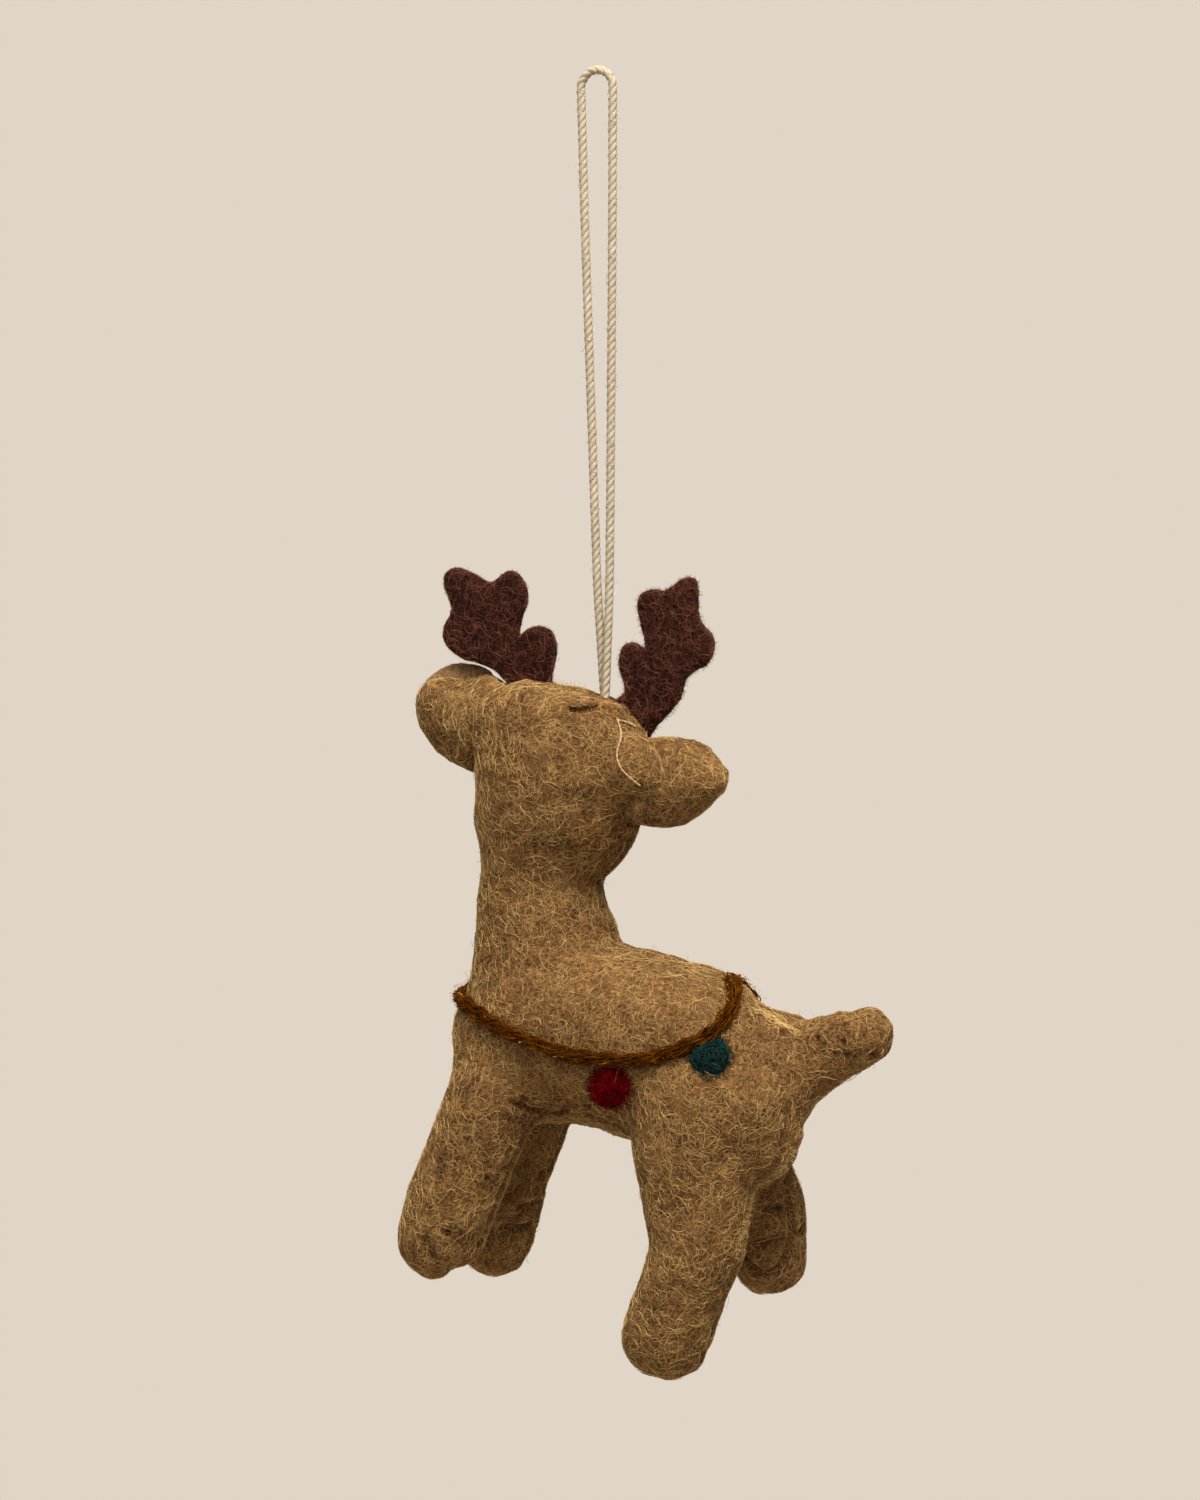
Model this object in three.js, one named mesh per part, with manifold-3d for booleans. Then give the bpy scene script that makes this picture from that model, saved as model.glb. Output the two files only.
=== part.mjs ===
// A stuffed wool-felt reindeer that hangs on a cotton cord loop and wears a yarn garland with felted dots.
// Millimetres, +Z up. The reindeer walks towards -X and its head is turned to look along +Y.
// The origin is the point inside the top of the loop that bears on a peg or hook.
import * as THREE from "three";
import { mergeVertices } from "three/addons/utils/BufferGeometryUtils.js";
import Module from "manifold-3d";

const wasm = await Module();
wasm.setup();

// Felt and clearances
const FELT = 1.8; // thickness of the body felt
const GAP = 0.3; // clearance between neighbouring pieces

// Hanging loop: each strand point is its distance from the middle of the loop and its drop below the peg
const CORD_D = 1.4;
const PEG_D = 4;
const LOOP_DROP = 96.4; // from the peg to the middle of the knot
const KNOT_D = 3.4;
const KNOT_RISE = 0.6; // middle of the knot above the crown of the head
const STRAND_POINTS = [
  [2.6, 8],
  [2.45, 18],
  [2.2, 30],
  [1.9, 43],
  [1.6, 56],
  [1.3, 69],
  [1.0, 80],
  [0.87, 87],
];

// Head: width along X and depth along Y, rolled towards +X
const HEAD_WIDTH = 28.6;
const HEAD_DEPTH = 24;
const HEAD_HEIGHT = 28.4;
const HEAD_X = -7.7; // middle of the head, from the cord
const HEAD_DROP = 12.3; // middle of the head, below the crown
const HEAD_ROLL = 17; // degrees

// Height along the head's axis, width and depth, each as a share of the half size
const HEAD_SHARES = [
  [-0.78, 0.83, 0.8],
  [-0.46, 0.97, 0.95],
  [-0.1, 1, 1],
  [0.3, 0.96, 0.97],
  [0.62, 0.88, 0.86],
  [0.8, 0.755, 0.72],
];
const CHIN_CAP = 3.4; // rounding below the lowest station
const CROWN_CAP = 2.84; // rounding above the highest station

// Neck
const NECK_WIDTH = 19.4;
const NECK_DEPTH = 19.2;
const NECK_X = -11.6;
const NECK_DROP = 29.5; // narrowest level of the neck, below the crown
const NECK_CAP = 4;
// Step along X, height above the narrowest level, and shares of the half width and half depth
const NECK_SHARES = [
  [1.6, -18.5, 1.34, 1.26],
  [0.5, -6.5, 1.13, 1.1],
  [0, 0, 1, 1],
  [1, 9.5, 0.98, 0.98],
];

// Torso
const TORSO_LENGTH = 57;
const TORSO_HEIGHT = 29;
const TORSO_WIDTH = 32;
const TORSO_SLOPE = 7.4; // how much lower the rump lies than the chest
const CHEST_X = -25; // front of the chest, from the cord
const CHEST_DROP = 50.5; // middle of the chest, below the crown
const CHEST_CAP = 4.56;
const RUMP_CAP = 4;
// Share of the length, share of the slope, and shares of the half height and half width
const TORSO_SHARES = [
  [0.08, 0.0, 0.7, 0.69],
  [0.24, 0.12, 0.98, 0.91],
  [0.48, 0.32, 1.0, 1.0],
  [0.72, 0.72, 0.96, 1.0],
  [0.93, 1.0, 0.7, 0.76],
];

// Tail
const TAIL_REACH = 46.8; // tip of the tail, from the cord
const TAIL_DROP = 51.4; // middle of the tail's tip, below the crown
const TAIL_ROOT_D = 13.4;
const TAIL_TIP_D = 8.6;
const TAIL_FLAT = 0.92; // width across Y as a share of the thickness
const TAIL_ROOT = 0.92; // share of the torso's length at which the tail begins
const TAIL_STATIONS = 4;
const ROOT_CAP = 3; // rounding of a limb's buried end

// Legs: the spread between left and right at the hip and at the hoof, and for each leg its thickness shares,
// the X of its hip, knee and hoof, and its reach below the crown
const HIP_SPREAD = 18;
const HOOF_SPREAD = 23;
const LEG_D = 14;
const HIP_DROP = 58; // level of the hips, below the crown
const THIGH_LEVEL = 0.4; // shares of the leg's height at the thigh and knee
const KNEE_LEVEL = 0.68;
const THIGH_LEAN = 0.62; // how much of the way from hip to knee the thigh has moved
const HOOF_ROUND = 0.85; // rounding of the hoof as a share of its half thickness
const LEGS = [
  { name: "front_left", side: -1, thigh: 1.06, hoof: 0.93, xs: [-14, -21.6, -24.6], drop: 89.4 },
  { name: "front_right", side: 1, thigh: 1.0, hoof: 0.8, xs: [-15.2, -23.6, -26.2], drop: 91.2 },
  { name: "rear_left", side: -1, thigh: 1.5, hoof: 0.97, xs: [18.6, 19.2, 14.2], drop: 102.6 },
  { name: "rear_right", side: 1, thigh: 1.2, hoof: 0.78, xs: [18.6, 20.4, 21.8], drop: 92.4 },
];

// Belly gusset: its upper edge, below the crown
const GUSSET_DROP = 60;

// Ears: each leans along the seam by a share of its length
const EARS = [
  { name: "left", side: -1, length: 12.8, width: 16.4, lean: 0.03 },
  { name: "right", side: 1, length: 13.2, width: 14, lean: 0.16 },
];
// Share of the length, and shares of the half width and of the curl there
const EAR_SHARES = [
  [0, 0.6, 0],
  [0.17, 0.78, 0.15],
  [0.33, 0.94, 0.46],
  [0.5, 1, 0.8],
  [0.67, 0.93, 0.84],
  [0.83, 0.74, 0.5],
  [0.96, 0.42, 0.15],
];
const EAR_COLUMNS = 4;
const EAR_T = 2.4;
const FLAP_T = 2.2; // the ear's felt beyond its round root
const EAR_CUP = 2.6; // how far the rim of the ear curls forward
const EAR_ANGLE = 74.7; // degrees from the head's own axis
const LINING_T = 1;
const LINING_MARGIN = 1.6; // ear felt that shows round the lining

// Antlers: flat felt, each outline given as distance outwards from its seat and height above it
const ANTLER_T = 3;
const ANTLER_BASE = 7;
const ANTLER_EDGE = 0.7; // rounding of the cut edge
const ANTLER_ANGLE = 36; // degrees from the head's own axis
const LEFT_ANTLER = [
  [-3.2, 0.3],
  [-4.4, 6.1],
  [-3.0, 8.5],
  [-0.5, 8.7],
  [2.1, 7.3],
  [1.5, 10.2],
  [0.4, 13.2],
  [1.2, 16.3],
  [3.4, 17.7],
  [6.3, 15.8],
  [9.1, 17.0],
  [12.6, 18.5],
  [14.4, 17.4],
  [14.5, 15.1],
  [13.0, 11.8],
  [14.6, 9.2],
  [14.5, 6.8],
  [11.7, 4.4],
  [8.0, 3.3],
  [5.7, 2.3],
  [3.2, 0.0],
];
const RIGHT_ANTLER = [
  [-2.6, 1.9],
  [-1.0, 3.8],
  [-2.1, 8.2],
  [-1.4, 10.9],
  [0.4, 11.3],
  [2.6, 9.5],
  [2.0, 12.9],
  [1.2, 16.8],
  [1.8, 18.9],
  [3.8, 19.6],
  [5.7, 19.1],
  [7.9, 20.6],
  [9.8, 21.2],
  [10.7, 19.7],
  [10.9, 14.8],
  [12.8, 12.6],
  [13.4, 10.7],
  [12.4, 8.1],
  [8.7, 6.1],
  [7.7, 2.8],
  [5.8, 0.7],
  [2.5, -1.9],
];

// Face
const MUZZLE_WIDTH = 15;
const MUZZLE_HEIGHT = 12.5;
const MUZZLE_REACH = 7; // how far the muzzle stands out of the head
const MUZZLE_LOW = 5; // middle of the muzzle below the widest level of the head
const NOSE_D = 4.8;
const NOSE_FLAT = 0.75; // depth and height of the nose as a share of its width
const NOSE_HIGH = 2.75; // nose above the middle of the muzzle
const NOSE_OUT = 6.65; // middle of the nose out from the head
const EYE_D = 2.8;
const EYE_SPACING = 10.5;
const EYE_HIGH = 3; // eyes above the widest level of the head

// Garland: each point of one half is aimed from the middle of the torso, by its bearing from the tail and
// its rise, in degrees, and lies on the felt there
const YARN_D = 2.1;
const GARLAND_HALF = [
  [7, 23.5],
  [19, 14],
  [33, 3],
  [48, -4],
  [66, -8],
  [95, -6.5],
  [125, 2.5],
  [153, 12.5],
  [180, 14.5],
];
const GARLAND_AIM_X = 2;
const GARLAND_AIM_DROP = 52;
const GARLAND_KNOT_D = 3.6;
const GARLAND_SAMPLES = 16; // points on the felt in each half
const DOT_D = 6;
const DOT_T = 3.4;
const DOT_STAND = 0.3; // middle of a dot above the felt
const DOTS = [
  { name: "dot_red_left", material: "red", bearing: 72, rise: -24, side: -1 },
  { name: "dot_teal_left", material: "teal", bearing: 34, rise: -7.5, side: -1 },
  { name: "dot_red_right", material: "red", bearing: 72, rise: -24, side: 1 },
  { name: "dot_teal_right", material: "teal", bearing: 34, rise: -7.5, side: 1 },
];

// Facets
const FORM_SIDES = 12;
const CAP_RINGS = 2;
const OVOID_SIDES = 12;
const OVOID_RINGS = 7;
const CORD_SIDES = 8;
const PEG_STEPS = 6; // points over the peg
const CORD_STEPS = 60;
const YARN_STEPS = 52;
const LARGE = 400; // reach of the cutting blocks

const CAMEL = new THREE.MeshStandardMaterial({ color: 0x9a6a3c, roughness: 0.95, metalness: 0 });
const DARK = new THREE.MeshStandardMaterial({ color: 0x3a2116, roughness: 0.95, metalness: 0 });
const LINING = new THREE.MeshStandardMaterial({ color: 0x6b4526, roughness: 0.95, metalness: 0 });
const WADDING = new THREE.MeshStandardMaterial({ color: 0xe6dfd2, roughness: 1, metalness: 0 });
const COTTON = new THREE.MeshStandardMaterial({ color: 0xd9cbb0, roughness: 0.9, metalness: 0 });
const MUSTARD = new THREE.MeshStandardMaterial({ color: 0x8a5c1c, roughness: 0.85, metalness: 0 });
const RED = new THREE.MeshStandardMaterial({ color: 0x9c0c26, roughness: 0.95, metalness: 0 });
const TEAL = new THREE.MeshStandardMaterial({ color: 0x163c40, roughness: 0.95, metalness: 0 });
const BEAD = new THREE.MeshStandardMaterial({ color: 0x0c0b0b, roughness: 0.2, metalness: 0 });

const radians = THREE.MathUtils.degToRad;
const mix = THREE.MathUtils.lerp;
const Y_AXIS = new THREE.Vector3(0, 1, 0);
const Z_AXIS = new THREE.Vector3(0, 0, 1);

// Solids

function solidOf(geometry) {
  const bare = geometry.clone();
  bare.deleteAttribute("normal");
  bare.deleteAttribute("uv");
  const merged = mergeVertices(bare, 1e-4);
  const vertProperties = new Float32Array(merged.attributes.position.array);
  const triVerts = new Uint32Array(merged.index.array);
  return new wasm.Manifold(new wasm.Mesh({ numProp: 3, vertProperties, triVerts }));
}

function geometryOf(solid) {
  const { numProp, vertProperties, triVerts } = solid.getMesh();
  const position = new Float32Array((vertProperties.length / numProp) * 3);
  for (let i = 0; i < position.length / 3; i += 1) {
    position.set(vertProperties.subarray(i * numProp, i * numProp + 3), i * 3);
  }
  const geometry = new THREE.BufferGeometry();
  geometry.setAttribute("position", new THREE.BufferAttribute(position, 3));
  geometry.setIndex(new THREE.BufferAttribute(new Uint32Array(triVerts), 1));
  geometry.computeVertexNormals();
  return geometry;
}

function union(solids) {
  return solids.reduce((sum, next) => sum.add(next));
}

// A block that fills the half of space on the far side of a point, along a direction
function halfSpace(point, direction) {
  const geometry = new THREE.BoxGeometry(LARGE, LARGE, LARGE);
  geometry.translate(0, 0, LARGE / 2);
  geometry.applyQuaternion(new THREE.Quaternion().setFromUnitVectors(Z_AXIS, direction));
  geometry.translate(point.x, point.y, point.z);
  return solidOf(geometry);
}

// A closed surface from rings of points, with one point at each end
function ringSurface(start, rings, end) {
  const points = [start, ...rings.flat(), end];
  const sides = rings[0].length;
  const last = points.length - 1;
  const index = [];
  for (let j = 0; j < sides; j += 1) {
    const next = (j + 1) % sides;
    index.push(0, 1 + next, 1 + j);
    for (let i = 0; i < rings.length - 1; i += 1) {
      const low = 1 + i * sides;
      const high = low + sides;
      index.push(low + j, low + next, high + next);
      index.push(low + j, high + next, high + j);
    }
    const top = 1 + (rings.length - 1) * sides;
    index.push(top + j, top + next, last);
  }
  const geometry = new THREE.BufferGeometry();
  geometry.setAttribute("position", new THREE.Float32BufferAttribute(points.flatMap((p) => p.toArray()), 3));
  geometry.setIndex(index);
  return geometry;
}

// A stuffed form swells and tapers along its stations [x, y, z, half thickness, half width across Y],
// with a round cap past each end. The inset draws its whole surface in.
function stuffedForm({ stations, startCap, endCap }, inset) {
  const middle = new THREE.CatmullRomCurve3(stations.map(([x, y, z]) => new THREE.Vector3(x, y, z)));
  const girths = stations.map(([, , , thick, wide]) => new THREE.Vector3(thick, wide, 0));
  const girth = new THREE.CatmullRomCurve3(girths);
  const count = 2 * (stations.length - 1);
  const ring = (t, beyond, shrink) => {
    const along = middle.getTangent(t);
    const across = Y_AXIS.clone().addScaledVector(along, -along.y).normalize();
    const up = across.clone().cross(along);
    const centre = middle.getPoint(t).addScaledVector(along, beyond);
    const size = girth.getPoint(t);
    return Array.from({ length: FORM_SIDES }, (_, j) => {
      const angle = (2 * Math.PI * j) / FORM_SIDES;
      return centre
        .clone()
        .addScaledVector(across, (size.y - inset) * shrink * Math.cos(angle))
        .addScaledVector(up, -(size.x - inset) * shrink * Math.sin(angle));
    });
  };
  const rings = [];
  for (let k = CAP_RINGS; k > 0; k -= 1) {
    const turn = ((Math.PI / 2) * k) / (CAP_RINGS + 1);
    rings.push(ring(0, -(startCap - inset) * Math.sin(turn), Math.cos(turn)));
  }
  for (let i = 0; i <= count; i += 1) {
    rings.push(ring(i / count, 0, 1));
  }
  for (let k = 1; k <= CAP_RINGS; k += 1) {
    const turn = ((Math.PI / 2) * k) / (CAP_RINGS + 1);
    rings.push(ring(1, (endCap - inset) * Math.sin(turn), Math.cos(turn)));
  }
  const start = middle.getPoint(0).addScaledVector(middle.getTangent(0), -(startCap - inset));
  const end = middle.getPoint(1).addScaledVector(middle.getTangent(1), endCap - inset);
  return solidOf(ringSurface(start, rings, end));
}

function ovoid(centre, width, depth, height, turn = 0) {
  const geometry = new THREE.SphereGeometry(0.5, OVOID_SIDES, OVOID_RINGS);
  geometry.rotateX(Math.PI / 2);
  geometry.scale(width, depth, height);
  geometry.rotateY(turn);
  geometry.translate(centre.x, centre.y, centre.z);
  return solidOf(geometry);
}

function rod(centre, direction, diameter, length) {
  const geometry = new THREE.CylinderGeometry(diameter / 2, diameter / 2, length, FORM_SIDES);
  geometry.applyQuaternion(new THREE.Quaternion().setFromUnitVectors(Y_AXIS, direction));
  geometry.translate(centre.x, centre.y, centre.z);
  return solidOf(geometry);
}

function tube(points, diameter, steps) {
  const section = new THREE.Shape();
  section.absarc(0, 0, diameter / 2, 0, 2 * Math.PI);
  const extrudePath = new THREE.CatmullRomCurve3(points);
  return new THREE.ExtrudeGeometry(section, { steps, extrudePath, curveSegments: CORD_SIDES / 2 });
}

// Stuffed forms, in a frame whose origin is the crown of the head where the cord goes in

const headAxis = new THREE.Vector3(Math.sin(radians(HEAD_ROLL)), 0, Math.cos(radians(HEAD_ROLL)));
const headAcross = Y_AXIS.clone().cross(headAxis);
const headMiddle = new THREE.Vector3(HEAD_X, 0, -HEAD_DROP);

const headForm = {
  stations: HEAD_SHARES.map(([level, wide, deep]) => [
    ...headMiddle.clone().addScaledVector(headAxis, (HEAD_HEIGHT / 2) * level),
    (HEAD_WIDTH / 2) * wide,
    (HEAD_DEPTH / 2) * deep,
  ]),
  startCap: CHIN_CAP,
  endCap: CROWN_CAP,
};

const neckForm = {
  stations: NECK_SHARES.map(([step, high, wide, deep]) => [
    NECK_X + step,
    0,
    high - NECK_DROP,
    (NECK_WIDTH / 2) * wide,
    (NECK_DEPTH / 2) * deep,
  ]),
  startCap: NECK_CAP,
  endCap: NECK_CAP,
};

const torsoForm = {
  stations: TORSO_SHARES.map(([along, slope, tall, wide]) => [
    CHEST_X + TORSO_LENGTH * along,
    0,
    -CHEST_DROP - TORSO_SLOPE * slope,
    (TORSO_HEIGHT / 2) * tall,
    (TORSO_WIDTH / 2) * wide,
  ]),
  startCap: CHEST_CAP,
  endCap: RUMP_CAP,
};

const tailForm = {
  stations: Array.from({ length: TAIL_STATIONS }, (_, i) => {
    const along = i / (TAIL_STATIONS - 1);
    const half = mix(TAIL_ROOT_D, TAIL_TIP_D, along) / 2;
    const x = mix(CHEST_X + TORSO_LENGTH * TAIL_ROOT, TAIL_REACH - TAIL_TIP_D / 2, along);
    return [x, 0, -mix(CHEST_DROP + TORSO_SLOPE, TAIL_DROP, along), half, half * TAIL_FLAT];
  }),
  startCap: ROOT_CAP,
  endCap: TAIL_TIP_D / 2,
};

// Level 0 is the hip and 1 is the ground end of the shortest leg
const shortestDrop = Math.min(...LEGS.map(({ drop }) => drop));
function halfSpread(drop) {
  const level = (drop - HIP_DROP) / (shortestDrop - HIP_DROP);
  return mix(HIP_SPREAD, HOOF_SPREAD, level) / 2;
}

function legForm({ side, thigh, hoof, xs, drop }) {
  const [hipX, kneeX, hoofX] = xs;
  const half = LEG_D / 2;
  const hoofCap = half * hoof * HOOF_ROUND;
  const station = (level, x, share) => {
    const low = mix(HIP_DROP, drop - hoofCap, level);
    return [x, side * halfSpread(low), -low, half * share, (half * (share + 1)) / 2];
  };
  return {
    stations: [
      station(0, hipX, thigh),
      station(THIGH_LEVEL, mix(hipX, kneeX, THIGH_LEAN), (thigh + 1) / 2),
      station(KNEE_LEVEL, kneeX, 1),
      station(1, hoofX, hoof),
    ],
    startCap: ROOT_CAP,
    endCap: hoofCap,
  };
}

const stuffed = [
  { name: "torso", form: torsoForm },
  { name: "head", form: headForm },
  { name: "neck", form: neckForm },
  { name: "tail", form: tailForm },
  ...LEGS.map((leg) => ({ name: `leg_${leg.name}`, form: legForm(leg) })),
];

const outside = union(stuffed.map(({ form }) => stuffedForm(form, 0)));
const inside = union(stuffed.map(({ form }) => stuffedForm(form, FELT)));
const skin = outside.subtract(inside);

// Places on the outside of the stuffed animal

const outsideMesh = new THREE.Mesh(geometryOf(outside), CAMEL);
const caster = new THREE.Raycaster();

function landing(from, towards) {
  caster.set(from, towards.clone().sub(from).normalize());
  return caster.intersectObject(outsideMesh)[0].point;
}

const crown = landing(new THREE.Vector3(0, 0, LARGE / 4), new THREE.Vector3(0, 0, -HEAD_DROP));

// A seat on the crown seam, by its angle from the head's own axis, positive towards +X
function crownSeat(angle) {
  const at = (degrees) => {
    const turn = radians(HEAD_ROLL + degrees);
    const out = new THREE.Vector3(Math.sin(turn), 0, Math.cos(turn));
    return landing(headMiddle.clone().addScaledVector(out, LARGE / 4), headMiddle);
  };
  const along = at(angle + 6).sub(at(angle - 6)).normalize();
  const out = along.clone().cross(Y_AXIS).normalize();
  return { point: at(angle), along, out };
}

// A point over the felt of the torso, seen from its middle, and the direction it is seen in
const garlandAim = new THREE.Vector3(GARLAND_AIM_X, 0, -GARLAND_AIM_DROP);
function overTorso(bearing, rise, side, stand) {
  const turn = radians(bearing);
  const level = Math.cos(radians(rise));
  const x = Math.cos(turn) * level;
  const y = side * Math.sin(turn) * level;
  const out = new THREE.Vector3(x, y, Math.sin(radians(rise)));
  const felt = landing(garlandAim.clone().addScaledVector(out, LARGE / 4), garlandAim);
  return { point: felt.addScaledVector(out, stand), out };
}

const pieces = [];

function piece(name, solid, material) {
  pieces.push({ name, solid, material });
}

// Ears: a petal that curls forward, with a round root that turns in the crown seam

function petal({ length, width, thickness, curl, lean, back }) {
  const at = ([along, wide, curled], j, face) => {
    const v = (2 * j) / EAR_COLUMNS - 1;
    const y = back + curl * curled * v * v + (face * thickness) / 2;
    return new THREE.Vector3(along * length, y, (v * wide * width) / 2 + lean * along * length);
  };
  const rings = EAR_SHARES.map((row) => {
    const front = Array.from({ length: EAR_COLUMNS + 1 }, (_, j) => at(row, j, 1));
    const rear = Array.from({ length: EAR_COLUMNS + 1 }, (_, j) => at(row, EAR_COLUMNS - j, -1));
    return [...front, ...rear];
  });
  const start = new THREE.Vector3(0, back, 0);
  const end = new THREE.Vector3(length, back, lean * length);
  return ringSurface(start, rings, end);
}

function placed(geometry, seat) {
  const frame = new THREE.Matrix4().makeBasis(seat.out, Y_AXIS, seat.along.clone().negate());
  frame.setPosition(seat.point);
  geometry.applyMatrix4(frame);
  return solidOf(geometry);
}

const roots = [];

for (const { name, side, length, width, lean } of EARS) {
  const seat = crownSeat(side * EAR_ANGLE);
  const base = width * EAR_SHARES[0][1];
  const root = rod(seat.point, seat.along, EAR_T, base);
  const flap = petal({ length, width, thickness: FLAP_T, curl: EAR_CUP, lean, back: 0 });
  piece(`ear_${name}`, placed(flap, seat).add(root), CAMEL);
  const lining = petal({
    length: length - 2 * LINING_MARGIN,
    width: width - 2 * LINING_MARGIN,
    thickness: LINING_T,
    curl: EAR_CUP,
    lean,
    back: (EAR_T + LINING_T) / 2 + GAP,
  });
  lining.translate(LINING_MARGIN, 0, lean * LINING_MARGIN);
  piece(`ear_lining_${name}`, placed(lining, seat), LINING);
  roots.push(rod(seat.point, seat.along, EAR_T + 2 * GAP, base + 2 * GAP));
}

// Antlers: flat felt with a round root that turns in the crown seam

function antler(outline, side, seat) {
  const [first, ...rest] = outline.map(([out, up]) => new THREE.Vector2(side * out, up));
  const shape = new THREE.Shape().moveTo(first.x, first.y).splineThru(rest);
  const plate = new THREE.ExtrudeGeometry(shape, {
    depth: ANTLER_T - 2 * ANTLER_EDGE,
    curveSegments: 2,
    bevelSegments: 1,
    bevelThickness: ANTLER_EDGE,
    bevelSize: ANTLER_EDGE,
    bevelOffset: -ANTLER_EDGE,
  });
  plate.translate(0, 0, ANTLER_EDGE - ANTLER_T / 2);
  plate.rotateX(Math.PI / 2);
  plate.translate(seat.point.x, seat.point.y, seat.point.z);
  const root = rod(seat.point, seat.along, ANTLER_T, ANTLER_BASE);
  return solidOf(plate).intersect(halfSpace(seat.point, seat.out)).add(root);
}

for (const { name, side, outline } of [
  { name: "left", side: -1, outline: LEFT_ANTLER },
  { name: "right", side: 1, outline: RIGHT_ANTLER },
]) {
  const seat = crownSeat(side * ANTLER_ANGLE);
  piece(`antler_${name}`, antler(outline, side, seat), DARK);
  roots.push(rod(seat.point, seat.along, ANTLER_T + 2 * GAP, ANTLER_BASE + 2 * GAP));
}

// Knot and hanging loop

const knotMiddle = crown.clone().setZ(crown.z + KNOT_RISE);
piece("cord_knot", ovoid(knotMiddle, KNOT_D, KNOT_D, KNOT_D), COTTON);
const knotSeat = ovoid(knotMiddle, KNOT_D + 2 * GAP, KNOT_D + 2 * GAP, KNOT_D + 2 * GAP);

function loopPoints() {
  const bend = (PEG_D + CORD_D) / 2;
  const arc = Array.from({ length: PEG_STEPS + 1 }, (_, i) => {
    const angle = (Math.PI * i) / PEG_STEPS;
    return new THREE.Vector3(-bend * Math.cos(angle), 0, -PEG_D / 2 + bend * Math.sin(angle));
  });
  const foot = [(CORD_D + GAP) / 2, LOOP_DROP - KNOT_D / 2 - GAP];
  const drops = [...STRAND_POINTS, foot];
  const strand = (side) => drops.map(([out, drop]) => new THREE.Vector3(side * out, 0, -drop));
  return [...strand(-1).reverse(), ...arc, ...strand(1)];
}

// Felt panels: two sides that meet at the crown, back and chest, and a gusset under the belly and legs

function gussetBlock(extra) {
  const low = 2 * shortestDrop;
  const shape = new THREE.Shape();
  shape.moveTo(halfSpread(GUSSET_DROP) + extra, -GUSSET_DROP + extra);
  shape.lineTo(halfSpread(low) + extra, -low);
  shape.lineTo(-halfSpread(low) - extra, -low);
  shape.lineTo(-halfSpread(GUSSET_DROP) - extra, -GUSSET_DROP + extra);
  const geometry = new THREE.ExtrudeGeometry(shape, { depth: LARGE, bevelEnabled: false });
  geometry.translate(0, 0, -LARGE / 2);
  geometry.applyMatrix4(new THREE.Matrix4().makeBasis(Y_AXIS, Z_AXIS, new THREE.Vector3(1, 0, 0)));
  return solidOf(geometry);
}

const seats = union([...roots, knotSeat]);
const seated = skin.subtract(seats);
const aboveGusset = seated.subtract(gussetBlock(GAP / 2));
for (const { name, side } of [{ name: "left", side: -1 }, { name: "right", side: 1 }]) {
  const half = halfSpace(new THREE.Vector3(0, (side * GAP) / 2, 0), new THREE.Vector3(0, side, 0));
  piece(`side_panel_${name}`, aboveGusset.intersect(half), CAMEL);
}
piece("belly_gusset", seated.intersect(gussetBlock(-GAP / 2)), CAMEL);

// Stuffing: each form inside the felt, cut by the larger ones before it

stuffed.forEach(({ name, form }, i) => {
  const own = stuffedForm(form, FELT + GAP);
  const larger = stuffed.slice(0, i).map((other) => stuffedForm(other.form, FELT));
  piece(`${name}_stuffing`, own.subtract(union([seats, ...larger])), WADDING);
});

// Face

function facePoint(across, up) {
  const aim = headMiddle.clone().addScaledVector(headAxis, up).addScaledVector(headAcross, across);
  return landing(aim.clone().setY(LARGE / 4), aim);
}

const muzzleRoot = facePoint(0, -MUZZLE_LOW);
const muzzle = ovoid(muzzleRoot, MUZZLE_WIDTH, 2 * MUZZLE_REACH, MUZZLE_HEIGHT, radians(HEAD_ROLL));
const headClearance = stuffedForm(headForm, -GAP);
piece("muzzle", muzzle.subtract(headClearance), CAMEL);

const noseMiddle = muzzleRoot.clone().addScaledVector(headAxis, NOSE_HIGH);
noseMiddle.y += NOSE_OUT;
const muzzleClearance = ovoid(
  muzzleRoot,
  MUZZLE_WIDTH + 2 * GAP,
  2 * (MUZZLE_REACH + GAP),
  MUZZLE_HEIGHT + 2 * GAP,
  radians(HEAD_ROLL),
);
const nose = ovoid(noseMiddle, NOSE_D, NOSE_D * NOSE_FLAT, NOSE_D * NOSE_FLAT, radians(HEAD_ROLL));
piece("nose", nose.subtract(muzzleClearance), DARK);

for (const { name, side } of [{ name: "left", side: -1 }, { name: "right", side: 1 }]) {
  const bead = ovoid(facePoint((side * EYE_SPACING) / 2, EYE_HIGH), EYE_D, EYE_D, EYE_D);
  piece(`eye_${name}`, bead.subtract(headClearance), BEAD);
}

// Garland: one length of yarn tied in a knot on the back, and felted dots below it

const garlandAims = GARLAND_HALF.map(([bearing, rise]) => new THREE.Vector3(bearing, rise, 0));
const yarnAims = new THREE.CatmullRomCurve3(garlandAims);
const [yarnLeft, yarnRight] = [-1, 1].map((side) =>
  yarnAims.getPoints(GARLAND_SAMPLES).map(({ x, y }) => overTorso(x, y, side, YARN_D / 2 + GAP).point),
);
const yarnRoute = [...yarnLeft, ...yarnRight.slice(0, -1).reverse()];
const bodyClearance = union(stuffed.map(({ form }) => stuffedForm(form, -GAP)));
piece("garland_yarn", solidOf(tube(yarnRoute, YARN_D, YARN_STEPS)).subtract(bodyClearance), MUSTARD);
const yarnClearance = solidOf(tube(yarnRoute, YARN_D + 2 * GAP, YARN_STEPS));

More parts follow.
